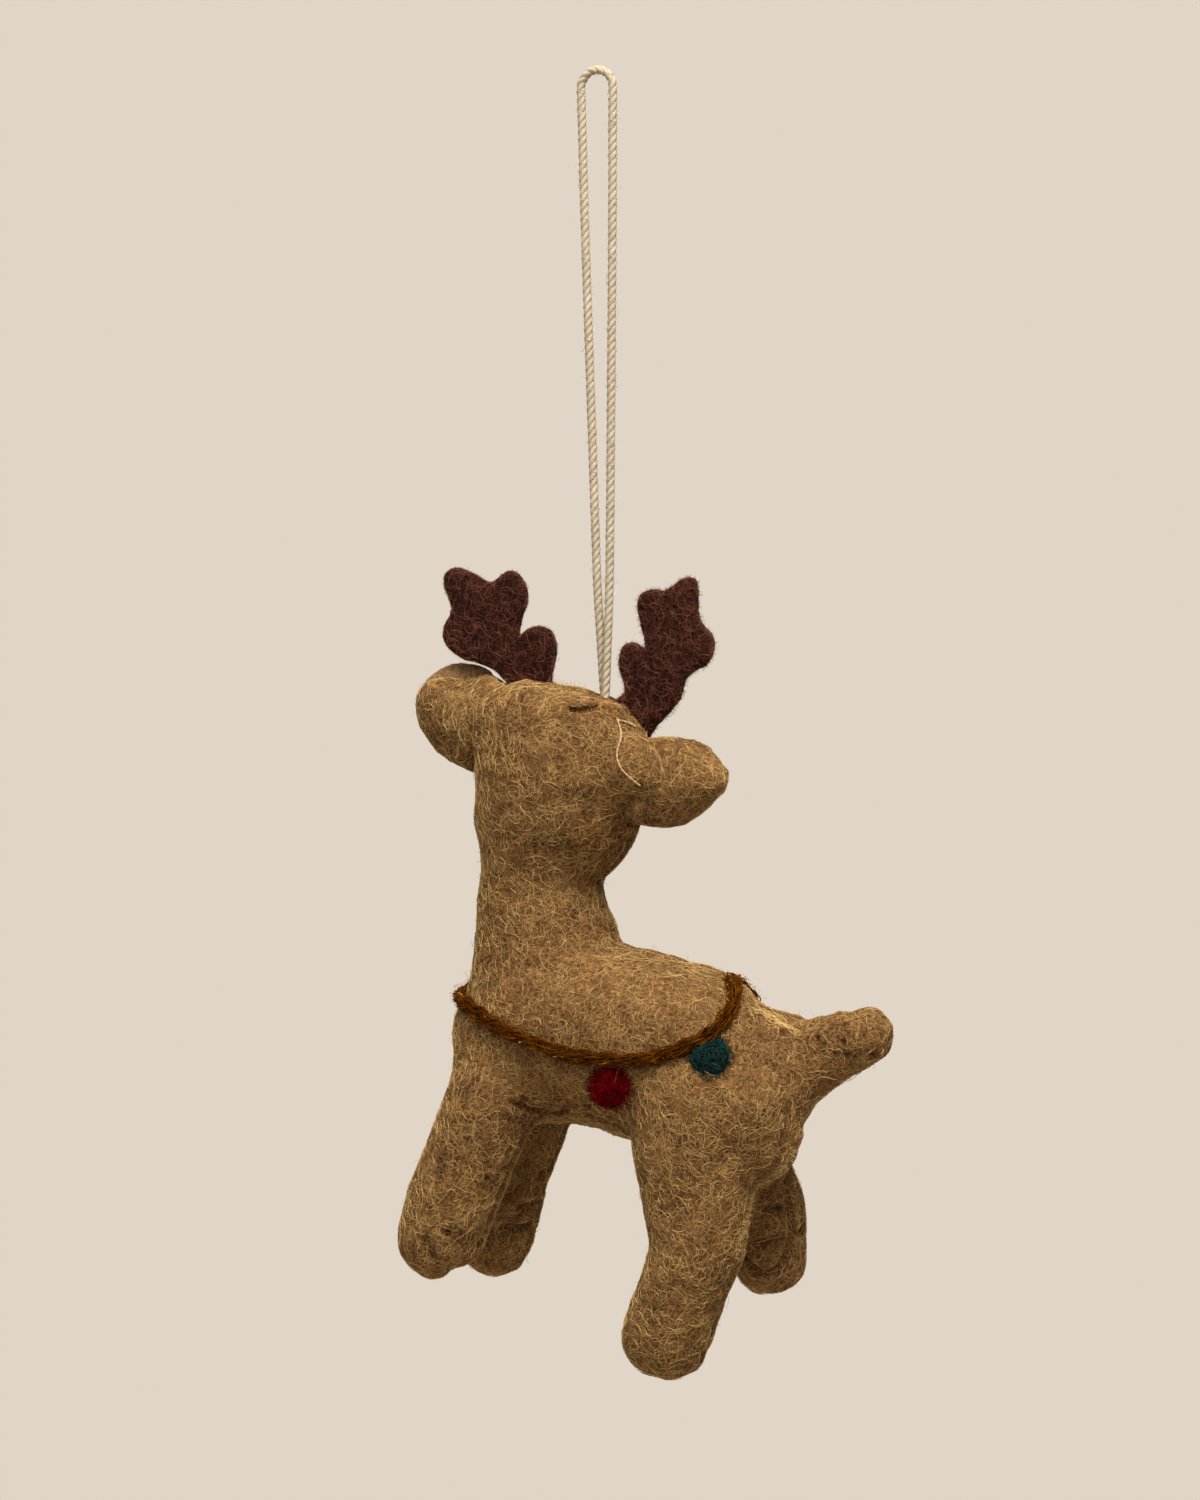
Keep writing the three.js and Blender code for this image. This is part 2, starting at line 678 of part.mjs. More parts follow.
const backKnot = yarnLeft[0].clone().lerp(yarnRight[0], 0.5);
const knotWidth = yarnLeft[0].distanceTo(yarnRight[0]) - 4 * GAP;
const tie = ovoid(backKnot, GARLAND_KNOT_D, knotWidth, GARLAND_KNOT_D);
piece("garland_knot", tie.subtract(bodyClearance), MUSTARD);

for (const { name, material, bearing, rise, side } of DOTS) {
  const { point, out } = overTorso(bearing, rise, side, DOT_STAND);
  const geometry = new THREE.SphereGeometry(0.5, OVOID_SIDES, OVOID_RINGS);
  geometry.scale(DOT_D, DOT_T, DOT_D);
  geometry.applyQuaternion(new THREE.Quaternion().setFromUnitVectors(Y_AXIS, out));
  geometry.translate(point.x, point.y, point.z);
  const dot = solidOf(geometry).subtract(bodyClearance).subtract(yarnClearance);
  piece(name, dot, material === "red" ? RED : TEAL);
}

const ornament = new THREE.Group();
const animal = new THREE.Group();
animal.position.z = -LOOP_DROP - knotMiddle.z;
for (const { name, solid, material } of pieces) {
  const mesh = new THREE.Mesh(geometryOf(solid), material);
  mesh.name = name;
  animal.add(mesh);
}
const cord = new THREE.Mesh(tube(loopPoints(), CORD_D, CORD_STEPS), COTTON);
cord.name = "hanging_cord";
ornament.add(cord, animal);

export default ornament;
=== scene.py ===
"""Dresses the hanging felt reindeer: stuffed felt body, ears, antlers, cord loop and yarn garland."""

from __future__ import annotations

import logging
import math
from dataclasses import dataclass, field
from enum import Enum
from typing import Any, Callable, Iterable, Sequence

import bmesh
import bpy
import numpy as np
from mathutils import Matrix, Vector, noise
from mathutils.bvhtree import BVHTree
from mathutils.kdtree import KDTree

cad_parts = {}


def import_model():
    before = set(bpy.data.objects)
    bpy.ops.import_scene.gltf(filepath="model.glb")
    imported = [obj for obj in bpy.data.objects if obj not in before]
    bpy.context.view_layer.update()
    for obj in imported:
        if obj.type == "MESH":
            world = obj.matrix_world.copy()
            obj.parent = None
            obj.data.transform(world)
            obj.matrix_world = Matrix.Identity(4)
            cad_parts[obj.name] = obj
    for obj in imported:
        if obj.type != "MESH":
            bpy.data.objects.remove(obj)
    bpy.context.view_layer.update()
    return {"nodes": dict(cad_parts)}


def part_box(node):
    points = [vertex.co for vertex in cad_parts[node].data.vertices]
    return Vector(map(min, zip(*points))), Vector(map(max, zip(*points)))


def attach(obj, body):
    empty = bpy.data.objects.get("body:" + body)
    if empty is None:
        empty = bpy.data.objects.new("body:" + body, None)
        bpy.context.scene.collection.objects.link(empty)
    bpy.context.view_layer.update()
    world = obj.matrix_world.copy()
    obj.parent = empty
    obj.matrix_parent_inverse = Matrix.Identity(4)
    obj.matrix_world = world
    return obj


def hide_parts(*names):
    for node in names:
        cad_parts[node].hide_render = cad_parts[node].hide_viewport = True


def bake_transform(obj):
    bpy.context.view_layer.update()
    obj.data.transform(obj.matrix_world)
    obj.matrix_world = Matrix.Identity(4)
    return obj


logging.basicConfig(level=logging.INFO, format="%(message)s")
LOG = logging.getLogger("felt_reindeer")

MM = 0.001
BAKE_MAP = "OFBake"

Colour = tuple[float, float, float]
Row = tuple[float, float, float]
Span = tuple[float, float]
Pixels = tuple[tuple[float, float], ...]
Rows = np.ndarray
Piece = bpy.types.Object
Material = bpy.types.Material
Hit = tuple[Vector, Vector, int, float]


def paint(red: int, green: int, blue: int) -> Colour:
    """Turn a colour as a screen shows it into the linear one that shaders take."""
    shares = (c / 255 for c in (red, green, blue))
    return tuple(c / 12.92 if c < 11 / 255 else ((c + 0.055) / 1.055) ** 2.4 for c in shares)


class Body(str, Enum):
    """The moving bodies that a piece can ride on."""

    HANGER = "hanger"
    SWIVEL = "swivel"
    REINDEER = "reindeer"
    LEFT_EAR = "left_ear"
    RIGHT_EAR = "right_ear"
    LEFT_ANTLER = "left_antler"
    RIGHT_ANTLER = "right_antler"


class Slot(str, Enum):
    """The material slots of the record."""

    CAMEL = "camel_felt"
    DARK = "dark_felt"
    LINING = "lining_felt"
    COTTON = "cotton_cord"
    YARN = "gold_yarn"
    RED = "red_wool"
    TEAL = "teal_wool"
    BEAD = "eye_bead"


# ---------------------------------------------------------------- shader maths


class Wire:
    """A shader socket that takes part in Python sums."""

    def __init__(self, mixer: "Mixer", socket: bpy.types.NodeSocket) -> None:
        """Keep the socket and the mixer whose nodes it belongs to."""
        self.mixer = mixer
        self.socket = socket

    def _math(self, operation: str, first: Any, second: Any) -> "Wire":
        """Add one Math node and give its result."""
        return self.mixer.node("ShaderNodeMath", {"operation": operation}, {0: first, 1: second})

    def __add__(self, other: Any) -> "Wire":
        """self + other"""
        return self._math("ADD", self, other)

    def __radd__(self, other: Any) -> "Wire":
        """other + self"""
        return self._math("ADD", other, self)

    def __sub__(self, other: Any) -> "Wire":
        """self - other"""
        return self._math("SUBTRACT", self, other)

    def __rsub__(self, other: Any) -> "Wire":
        """other - self"""
        return self._math("SUBTRACT", other, self)

    def __mul__(self, other: Any) -> "Wire":
        """self * other"""
        return self._math("MULTIPLY", self, other)

    def __abs__(self) -> "Wire":
        """abs(self)"""
        return self._math("ABSOLUTE", self, 0.0)

    def ramp(self, low: float, high: float) -> "Wire":
        """Run smoothly from 0 at low to 1 at high, held at both ends."""
        settings = {"interpolation_type": "SMOOTHSTEP", "clamp": True}
        return self.mixer.node("ShaderNodeMapRange", settings, {0: self, 1: low, 2: high, 3: 0.0, 4: 1.0})


class Mixer:
    """One material or world, with the single method that adds its nodes."""

    def __init__(self, owner: Material | bpy.types.World) -> None:
        """Start from an empty node tree."""
        owner.use_nodes = True
        self.tree = owner.node_tree
        self.tree.nodes.clear()

    def node(self, kind: str, settings: dict[str, Any], inputs: dict[Any, Any], out: Any = 0) -> Wire:
        """Add a node.

        Args:
            kind: The node's type.
            settings: Its own settings, set before its sockets.
            inputs: Values or wires by socket name or number.
            out: Name or number of the output to give back.

        Returns:
            The chosen output as a wire.
        """
        made = self.tree.nodes.new(kind)
        for name, value in settings.items():
            setattr(made, name, value)
        for name, value in inputs.items():
            socket = made.inputs[name]
            if isinstance(value, Wire):
                self.tree.links.new(value.socket, socket)
            elif isinstance(value, tuple) and socket.type == "RGBA" and len(value) == 3:
                socket.default_value = (*value, 1.0)
            else:
                socket.default_value = value
        return Wire(self, made.outputs[out]) if len(made.outputs) else Wire(self, None)

    def place(self) -> Wire:
        """Give the piece's own Object coordinates."""
        return self.node("ShaderNodeTexCoord", {}, {}, "Object")

    def tint(self, name: str) -> Wire:
        """Give a number kept in the mesh."""
        return self.node("ShaderNodeAttribute", {"attribute_name": name}, {}, "Fac")

    def blend(self, share: Any, first: Any, second: Any) -> Wire:
        """Mix two colours."""
        settings = {"data_type": "RGBA", "clamp_factor": True}
        return self.node("ShaderNodeMix", settings, {0: share, 6: first, 7: second}, 2)

    def cloud(self, scale: float, detail: float, seed: float, rough: float = 0.5) -> Wire:
        """Give soft noise in Object coordinates, with scale in cells to the millimetre."""
        inputs = {"Vector": self.place(), "W": seed, "Scale": scale / MM, "Detail": detail,
                  "Roughness": rough}
        return self.node("ShaderNodeTexNoise", {"noise_dimensions": "4D"}, inputs, "Fac")

    def tangle(self, scale: float, width: float, seed: float) -> Wire:
        """Give thin curling lines, as of fibres that lie in felt."""
        return 1.0 - (abs(self.cloud(scale, 1.2, seed) - 0.5)).ramp(0.25 * width, width)

    def surface(self, inputs: dict[Any, Any]) -> None:
        """End the tree in a Principled shader with these sockets."""
        shader = self.node("ShaderNodeBsdfPrincipled", {}, inputs)
        self.node("ShaderNodeOutputMaterial", {}, {"Surface": shader})

    def bump(self, height: Wire, strength: float, depth: float) -> Wire:
        """Turn a height into a normal, with depth in millimetres."""
        inputs = {"Strength": strength, "Distance": depth * MM, "Height": height}
        return self.node("ShaderNodeBump", {}, inputs, "Normal")


@dataclass(frozen=True)
class Finish:
    """A finish that becomes one material."""

    name: str

    def sockets(self, mixer: Mixer) -> dict[str, Any]:
        """Give the values and wires of the shader's sockets."""
        raise NotImplementedError

    def material(self) -> Material:
        """Make the finish's material.

        Returns:
            The finished material.
        """
        made = bpy.data.materials.new(self.name)
        mixer = Mixer(made)
        mixer.surface(self.sockets(mixer))
        return made


@dataclass(frozen=True)
class Felt(Finish):
    """Needled wool felt: a blotchy ground with lighter fibres over darker gaps, which are painted shade in
    its pores and random blotches, and painted shade in its pits.
    """

    ground: Colour
    # painted shade colour in the pores between fibres, also laid in random blotches
    gap_shade: Colour
    fibre: Colour
    warm: Colour
    # painted shade colour of seams, stitches, needle holes, creases and dimples
    hole: Colour
    sheen: float = 0.06

    def sockets(self, mixer: Mixer) -> dict[str, Any]:
        """Mix blotches, pores, fibres, painted shade in the pores and painted shade in the pits."""
        blotch = mixer.cloud(0.16, 3.0, 1.0)
        ground = mixer.blend(mixer.cloud(0.07, 2.0, 4.0).ramp(0.35, 0.68), self.ground, self.warm)
        pores = mixer.cloud(1.9, 2.0, 2.0, 0.6)
        # painted shade: the gap colour darkens the pores between the fibres, and also random blotches
        base = mixer.blend(pores.ramp(0.62, 0.40) * 0.75 + blotch.ramp(0.60, 0.40) * 0.25, ground, self.gap_shade)
        coarse = mixer.tangle(0.75, 0.034, 11.0)
        middle = mixer.tangle(1.05, 0.032, 17.0)
        fine = mixer.tangle(1.5, 0.036, 23.0)
        lines = (coarse * 0.8 + middle * 0.7 + fine * 0.5) * mixer.cloud(0.5, 1.0, 31.0).ramp(0.3, 0.65)
        colour = mixer.blend(lines * 0.72, base, self.fibre)
        # painted shade: the pit number darkens seams, stitches, needle holes, creases and ear dimples towards
        # the hole colour
        colour = mixer.blend(mixer.tint("pit"), colour, self.hole)
        height = pores * 0.6 + lines * 0.5 + blotch * 0.3
        return {
            "Base Color": colour,
            "Roughness": 0.95,
            "Specular IOR Level": 0.12,
            "Sheen Weight": self.sheen,
            "Sheen Roughness": 0.6,
            "Sheen Tint": self.fibre,
            "Normal": mixer.bump(height, 0.75, 0.28),
        }


@dataclass(frozen=True)
class Fibre(Finish):
    """Single wool or cotton hairs, each a little lighter or darker than the next."""

    deep: Colour
    pale: Colour
    gloss: float = 0.2

    def sockets(self, mixer: Mixer) -> dict[str, Any]:
        """Shade each hair by its own tint."""
        along = mixer.cloud(0.8, 1.0, 3.0)
        share = mixer.tint("tint") * 0.8 + along * 0.4 - 0.1
        return {
            "Base Color": mixer.blend(share.ramp(0.0, 1.0), self.deep, self.pale),
            "Roughness": 0.75,
            "Specular IOR Level": self.gloss,
        }


@dataclass(frozen=True)
class Strand(Finish):
    """Twisted cotton or wool: fine lengthwise filaments, with painted shade where two plies meet and a
    painted glint on the crests.
    """

    groove_shade: Colour
    crest: Colour
    glint: Colour
    gloss: float = 0.2

    def sockets(self, mixer: Mixer) -> dict[str, Any]:
        """Paint shade into the plies by their height, and a glint on their crests."""
        crest = mixer.tint("crest")
        threads = mixer.cloud(3.2, 2.0, 6.0)
        streak = mixer.cloud(0.35, 2.0, 9.0)
        # painted shade: the groove colour low between the plies, the crest colour on their tops
        colour = mixer.blend((crest * 0.8 + threads * 0.5 - 0.15).ramp(0.0, 1.0), self.groove_shade, self.crest)
        # painted highlight: glint streaks on the crests
        colour = mixer.blend(streak.ramp(0.52, 0.75) * crest * 0.6, colour, self.glint)
        return {
            "Base Color": colour,
            "Roughness": 0.85,
            "Specular IOR Level": self.gloss,
            "Normal": mixer.bump(threads, 0.5, 0.12),
        }


@dataclass(frozen=True)
class Glass(Finish):
    """A glossy black bead with faint specks of dust."""

    colour: Colour
    dust: Colour

    def sockets(self, mixer: Mixer) -> dict[str, Any]:
        """Strew dust over the gloss."""
        specks = mixer.cloud(1.6, 3.0, 2.0).ramp(0.62, 0.8)
        return {
            "Base Color": mixer.blend(specks * 0.3, self.colour, self.dust),
            "Roughness": 0.12 + specks * 0.3,
            "Specular IOR Level": 0.5,
        }


class Palette:
    """Every finish of the reindeer, each made once."""

    def __init__(self) -> None:
        """Mix the felts, hairs, strands and beads."""
        # painted shade colour for the seams, stitches, needle holes and creases of the camel and lining felt
        hole = paint(26, 14, 6)
        self.camel = Felt("camel_felt", paint(128, 89, 50), paint(66, 41, 21), paint(196, 149, 90),
                          paint(136, 94, 52), hole).material()
        self.dark = Felt("antler_felt", paint(44, 17, 12), paint(17, 5, 3), paint(92, 48, 36),
                         paint(48, 21, 14), paint(16, 8, 5), 0.02).material()
        self.lining = Felt("lining_felt", paint(160, 122, 82), paint(104, 76, 48), paint(184, 146, 102),
                           paint(164, 124, 82), hole).material()
        self.red = Felt("red_wool", paint(94, 0, 8), paint(46, 0, 2), paint(124, 4, 20),
                        paint(102, 0, 10), paint(36, 0, 2), 0.0).material()
        self.teal = Felt("teal_wool", paint(7, 23, 24), paint(2, 9, 10), paint(30, 54, 50),
                         paint(9, 27, 28), paint(6, 12, 12), 0.0).material()
        self.camel_hair = Fibre("camel_hair", paint(114, 75, 34), paint(248, 208, 135)).material()
        self.dark_hair = Fibre("antler_hair", paint(33, 10, 7), paint(186, 118, 90), 0.1).material()
        self.red_hair = Fibre("red_hair", paint(64, 0, 2), paint(178, 0, 28), 0.02).material()
        self.teal_hair = Fibre("teal_hair", paint(0, 7, 8), paint(48, 92, 88), 0.02).material()
        self.gold_hair = Fibre("gold_hair", paint(52, 24, 0), paint(164, 94, 5), 0.04).material()
        self.gold_glint = Fibre("gold_glint", paint(226, 158, 50), paint(255, 226, 140), 0.5).material()
        self.cream_hair = Fibre("cream_hair", paint(206, 190, 160), paint(240, 230, 208)).material()
        self.thread = Fibre("sewing_thread", paint(190, 154, 104), paint(240, 208, 162)).material()
        # each strand's first colour is painted shade in the grooves between plies, its last a painted glint
        # on the crests
        self.cotton = Strand("cotton_cord", paint(186, 168, 140), paint(201, 185, 158),
                             paint(220, 208, 186)).material()
        self.gold = Strand("gold_yarn", paint(40, 17, 0), paint(97, 50, 0),
                           paint(196, 118, 10), 0.04).material()
        self.bead = Glass("eye_bead", paint(14, 12, 11), paint(70, 60, 52)).material()


# ---------------------------------------------------------------- the picture's view


@dataclass(frozen=True)
class Sight:
    """The photograph's view, which turns a picture point into a line of sight."""

    azimuth: float = 25.0
    roll: float = 0.757
    distance: float = 680 * MM
    pixel: float = 0.155 * MM
    target: Row = (0.0, 0.0, -97 * MM)
    target_px: Span = (605.0, 700.0)
    frame_px: Span = (1200.0, 1500.0)
    sensor: float = 36.0

    def turn(self) -> Matrix:
        """Give the camera's own axes as the columns of a matrix."""
        a, r = math.radians(self.azimuth), math.radians(self.roll)
        back = Vector((math.sin(a), -math.cos(a), 0))
        across = Vector((math.cos(a), math.sin(a), 0))
        up = Vector((0, 0, 1))
        right = across * math.cos(r) - up * math.sin(r)
        top = across * math.sin(r) + up * math.cos(r)
        return Matrix((right, top, back)).transposed()

    def eye(self) -> Vector:
        """Give the camera's place."""
        right, top, back = self.turn().transposed()
        x = (self.target_px[0] - self.frame_px[0] / 2) * self.pixel
        y = (self.frame_px[1] / 2 - self.target_px[1]) * self.pixel
        return Vector(self.target) - right * x - top * y + back * self.distance

    def ray(self, px: float, py: float) -> Vector:
        """Give the direction of the line of sight through a picture point."""
        x = (px - self.frame_px[0] / 2) * self.pixel
        y = (self.frame_px[1] / 2 - py) * self.pixel
        return (self.turn() @ Vector((x, y, -self.distance))).normalized()

    def place(self, px: float, py: float, y: float) -> Vector:
        """Give the point of a line of sight where it reaches a depth y."""
        eye, ray = self.eye(), self.ray(px, py)
        return eye + ray * ((y - eye.y) / ray.y)

    def hit(self, tree: BVHTree, px: float, py: float) -> Hit:
        """Give what the line of sight through a picture point meets first."""
        return tree.ray_cast(self.eye(), self.ray(px, py))

    def hits(self, tree: BVHTree, run: Iterable[Sequence[float]]) -> list[Hit]:
        """Give what the lines of sight through a run of picture points meet, where they meet something."""
        return [found for found in (self.hit(tree, *px) for px in run) if found[0] is not None]

    def camera(self) -> Piece:
        """Set up the camera.

        Returns:
            The camera object.
        """
        bpy.ops.object.camera_add(location=self.eye(), rotation=self.turn().to_euler())
        made = bpy.context.object
        made.name = "photo_camera"
        made.data.sensor_fit = "AUTO"
        made.data.sensor_width = self.sensor
        made.data.lens = self.distance / self.pixel * self.sensor / max(self.frame_px)
        made.data.clip_start = 0.01
        bpy.context.scene.camera = made
        return made


SIGHT = Sight()


# ---------------------------------------------------------------- hand tools


class Bench:
    """Hand tools that act on just the pieces given to them."""

    @staticmethod
    def pick(*chosen: Piece) -> None:
        """Select these pieces alone, the first one active."""
        if bpy.context.object and bpy.context.object.mode != "OBJECT":
            bpy.ops.object.mode_set(mode="OBJECT")
        bpy.ops.object.select_all(action="DESELECT")
        for one in chosen:
            one.select_set(True)
        bpy.context.view_layer.objects.active = chosen[0] if chosen else None

    @staticmethod
    def apply(work: Piece, kind: str, **settings: Any) -> None:
        """Add a modifier with these settings and apply it."""
        Bench.pick(work)
        added = work.modifiers.new(kind.lower(), kind)
        for name, value in settings.items():
            setattr(added, name, value)
        bpy.ops.object.modifier_apply(modifier=added.name)

    @staticmethod
    def soften(work: Piece, voxel: float, rounds: int, swell: float = 0.0) -> None:
        """Remesh a piece, smooth it and let it swell."""
        Bench.apply(work, "REMESH", mode="VOXEL", voxel_size=voxel, adaptivity=0.0)
        Bench.apply(work, "SMOOTH", factor=0.5, iterations=rounds)
        if swell:
            Bench.apply(work, "DISPLACE", strength=swell, mid_level=0.0)

    @staticmethod
    def ball(radius: float, spot: Sequence[float], segments: int, rings: int) -> Piece:
        """Add a ball with its place in its mesh."""
        Bench.pick()
        bpy.ops.mesh.primitive_uv_sphere_add(segments=segments, ring_count=rings, radius=radius,
                                             location=spot)
        bpy.ops.object.transform_apply(location=True, rotation=True, scale=True)
        return bpy.context.object

    @staticmethod
    def copy(node: Piece, name: str) -> Piece:
        """Copy a CAD node's mesh into a new piece and merge its loose triangles."""
        made = bpy.data.objects.new(name, node.data.copy())
        bpy.context.scene.collection.objects.link(made)
        made.data.materials.clear()
        Bench.apply(made, "WELD", merge_threshold=1e-6)
        return made

    @staticmethod
    def join(parts: Sequence[Piece], name: str) -> Piece:
        """Join pieces into the first one."""
        Bench.pick(*parts)
        if len(parts) > 1:
            bpy.ops.object.join()
        parts[0].name = name
        parts[0].data.name = name
        return parts[0]

    @staticmethod
    def points(work: Piece) -> Rows:
        """Read a mesh's points as rows."""
        flat = np.empty(len(work.data.vertices) * 3)
        work.data.vertices.foreach_get("co", flat)
        return flat.reshape(-1, 3)

    @staticmethod
    def normals(work: Piece) -> Rows:
        """Read a mesh's point normals as rows."""
        flat = np.empty(len(work.data.vertices) * 3, np.float32)
        work.data.vertex_normals.foreach_get("vector", flat)
        return flat.reshape(-1, 3).astype(float)

    @staticmethod
    def move(work: Piece, points: Rows) -> None:
        """Write a mesh's points back."""
        work.data.vertices.foreach_set("co", points.ravel())
        work.data.update()

    @staticmethod
    def keep(work: Piece, name: str, values: Rows) -> None:
        """Keep a number for each point in the mesh."""
        layer = work.data.attributes.get(name) or work.data.attributes.new(name, "FLOAT", "POINT")
        layer.data.foreach_set("value", values.astype(np.float32))

    @staticmethod
    def plain(work: Piece) -> None:
        """Keep a felt piece free of painted pit shade."""
        Bench.keep(work, "pit", np.zeros(len(work.data.vertices)))

    @staticmethod
    def tree(work: Piece) -> BVHTree:
        """Make a search tree of a mesh."""
        return BVHTree.FromObject(work, bpy.context.evaluated_depsgraph_get())

    @staticmethod
    def mesh(name: str, points: Rows, faces: Sequence[Sequence[int]]) -> Piece:
        """Make a piece from points and faces."""
        data = bpy.data.meshes.new(name)
        data.from_pydata(points.tolist(), [], faces if isinstance(faces, list) else faces.tolist())
        data.update()
        made = bpy.data.objects.new(name, data)
        bpy.context.scene.collection.objects.link(made)
        return made

    @staticmethod
    def smooth(work: Piece) -> None:
        """Shade a piece smooth."""
        Bench.pick(work)
        bpy.ops.object.shade_smooth()

    @staticmethod
    def dress(work: Piece, finish: Material, slot: Slot,
              body: Body | None = Body.REINDEER) -> Piece:
        """Give a piece its finish, and let it ride on a body."""
        work.data.materials.clear()
        work.data.materials.append(finish)
        if body is not None:
            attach(work, body.value)
        triangles = sum(len(p.vertices) - 2 for p in work.data.polygons)
        LOG.info("%s: %d triangles, %s", work.name, triangles, body.value if body else "blended")
        return work


def unit(rows: Rows) -> Rows:
    """Scale rows to length 1."""
    return rows / np.maximum(np.linalg.norm(rows, axis=-1, keepdims=True), 1e-12)


def grade(values: Rows, start: float, width: float) -> Rows:
    """Run from 0 at a start to 1 over a width, held at both ends."""
    return np.clip((values - start) / width, 0, 1)


def ripple(points: Rows, *waves: Span) -> Rows:
    """Give an uneven swell at each point, from noises by share and by size in millimetres."""
    return np.array([sum(share * noise.noise(Vector(p) / (size * MM)) for share, size in waves)
                     for p in points])


def split(found: Sequence[Hit]) -> tuple[Rows, Rows]:
    """Give the points and the normals of places found on a skin."""
    return np.array([f[0] for f in found]), np.array([f[1] for f in found])


def reach_along(path: Rows) -> Rows:
    """Give each point's distance along a path."""
    return np.concatenate([[0], np.cumsum(np.linalg.norm(np.diff(path, axis=0), axis=1))])


def around(side: Rows, other: Rows, turn: Rows) -> Rows:
    """Turn from one direction towards another by an angle for each row."""
    return side * np.cos(turn)[:, None] + other * np.sin(turn)[:, None]


def even(points: Rows, step: float) -> Rows:
    """Run a smooth curve through points and space it evenly.

    Args:
        points: The curve's own points, in rows.
        step: Wanted spacing.

    Returns:
        Evenly spaced points from the first to the last.
    """
    padded = np.vstack([2 * points[0] - points[1], points, 2 * points[-1] - points[-2]])
    t = np.linspace(0, 1, 24, endpoint=False)[:, None]
    runs = []
    for a, b, c, d in zip(padded, padded[1:], padded[2:], padded[3:]):
        square, cube = 2 * a - 5 * b + 4 * c - d, 3 * b - a - 3 * c + d
        runs.append(0.5 * (2 * b + (c - a) * t + square * t**2 + cube * t**3))
    curve = np.vstack([*runs, points[-1:]])
    reach = reach_along(curve)
    spots = np.linspace(0, reach[-1], max(2, int(round(reach[-1] / step)) + 1))
    return np.stack([np.interp(spots, reach, curve[:, k]) for k in range(3)], axis=1)


def frames(path: Rows, first: Row) -> tuple[Rows, Rows, Rows]:
    """Carry a frame along a path without twist.

    Args:
        path: Points in rows.
        first: A direction across the path's start.

    Returns:
        The path's directions and two directions across it.
    """
    along = unit(np.gradient(path, axis=0))
    side = np.empty_like(path)
    now = np.array(first, float)
    for i, t in enumerate(along):
        now = now - t * now.dot(t)
        now = now / np.linalg.norm(now)
        side[i] = now
    return along, side, np.cross(along, side)


def turned_faces(spokes: int, bands: int) -> list[list[int]]:
    """List the faces of a turned form.

    Args:
        spokes: How many points each ring has.
        bands: How many bands of faces lie between its rings.

    Returns:
        The faces, from its top point over the bands to its bottom point.
    """
    after = [(k + 1) % spokes for k in range(spokes)]
    faces = [[0, 1 + k, 1 + n] for k, n in enumerate(after)]
    for band in range(bands):
        a, b = 1 + band * spokes, 1 + (band + 1) * spokes
        faces += [[a + k, b + k, b + n, a + n] for k, n in enumerate(after)]
    last = 1 + bands * spokes
    return faces + [[last + n, last + k, last + spokes] for k, n in enumerate(after)]


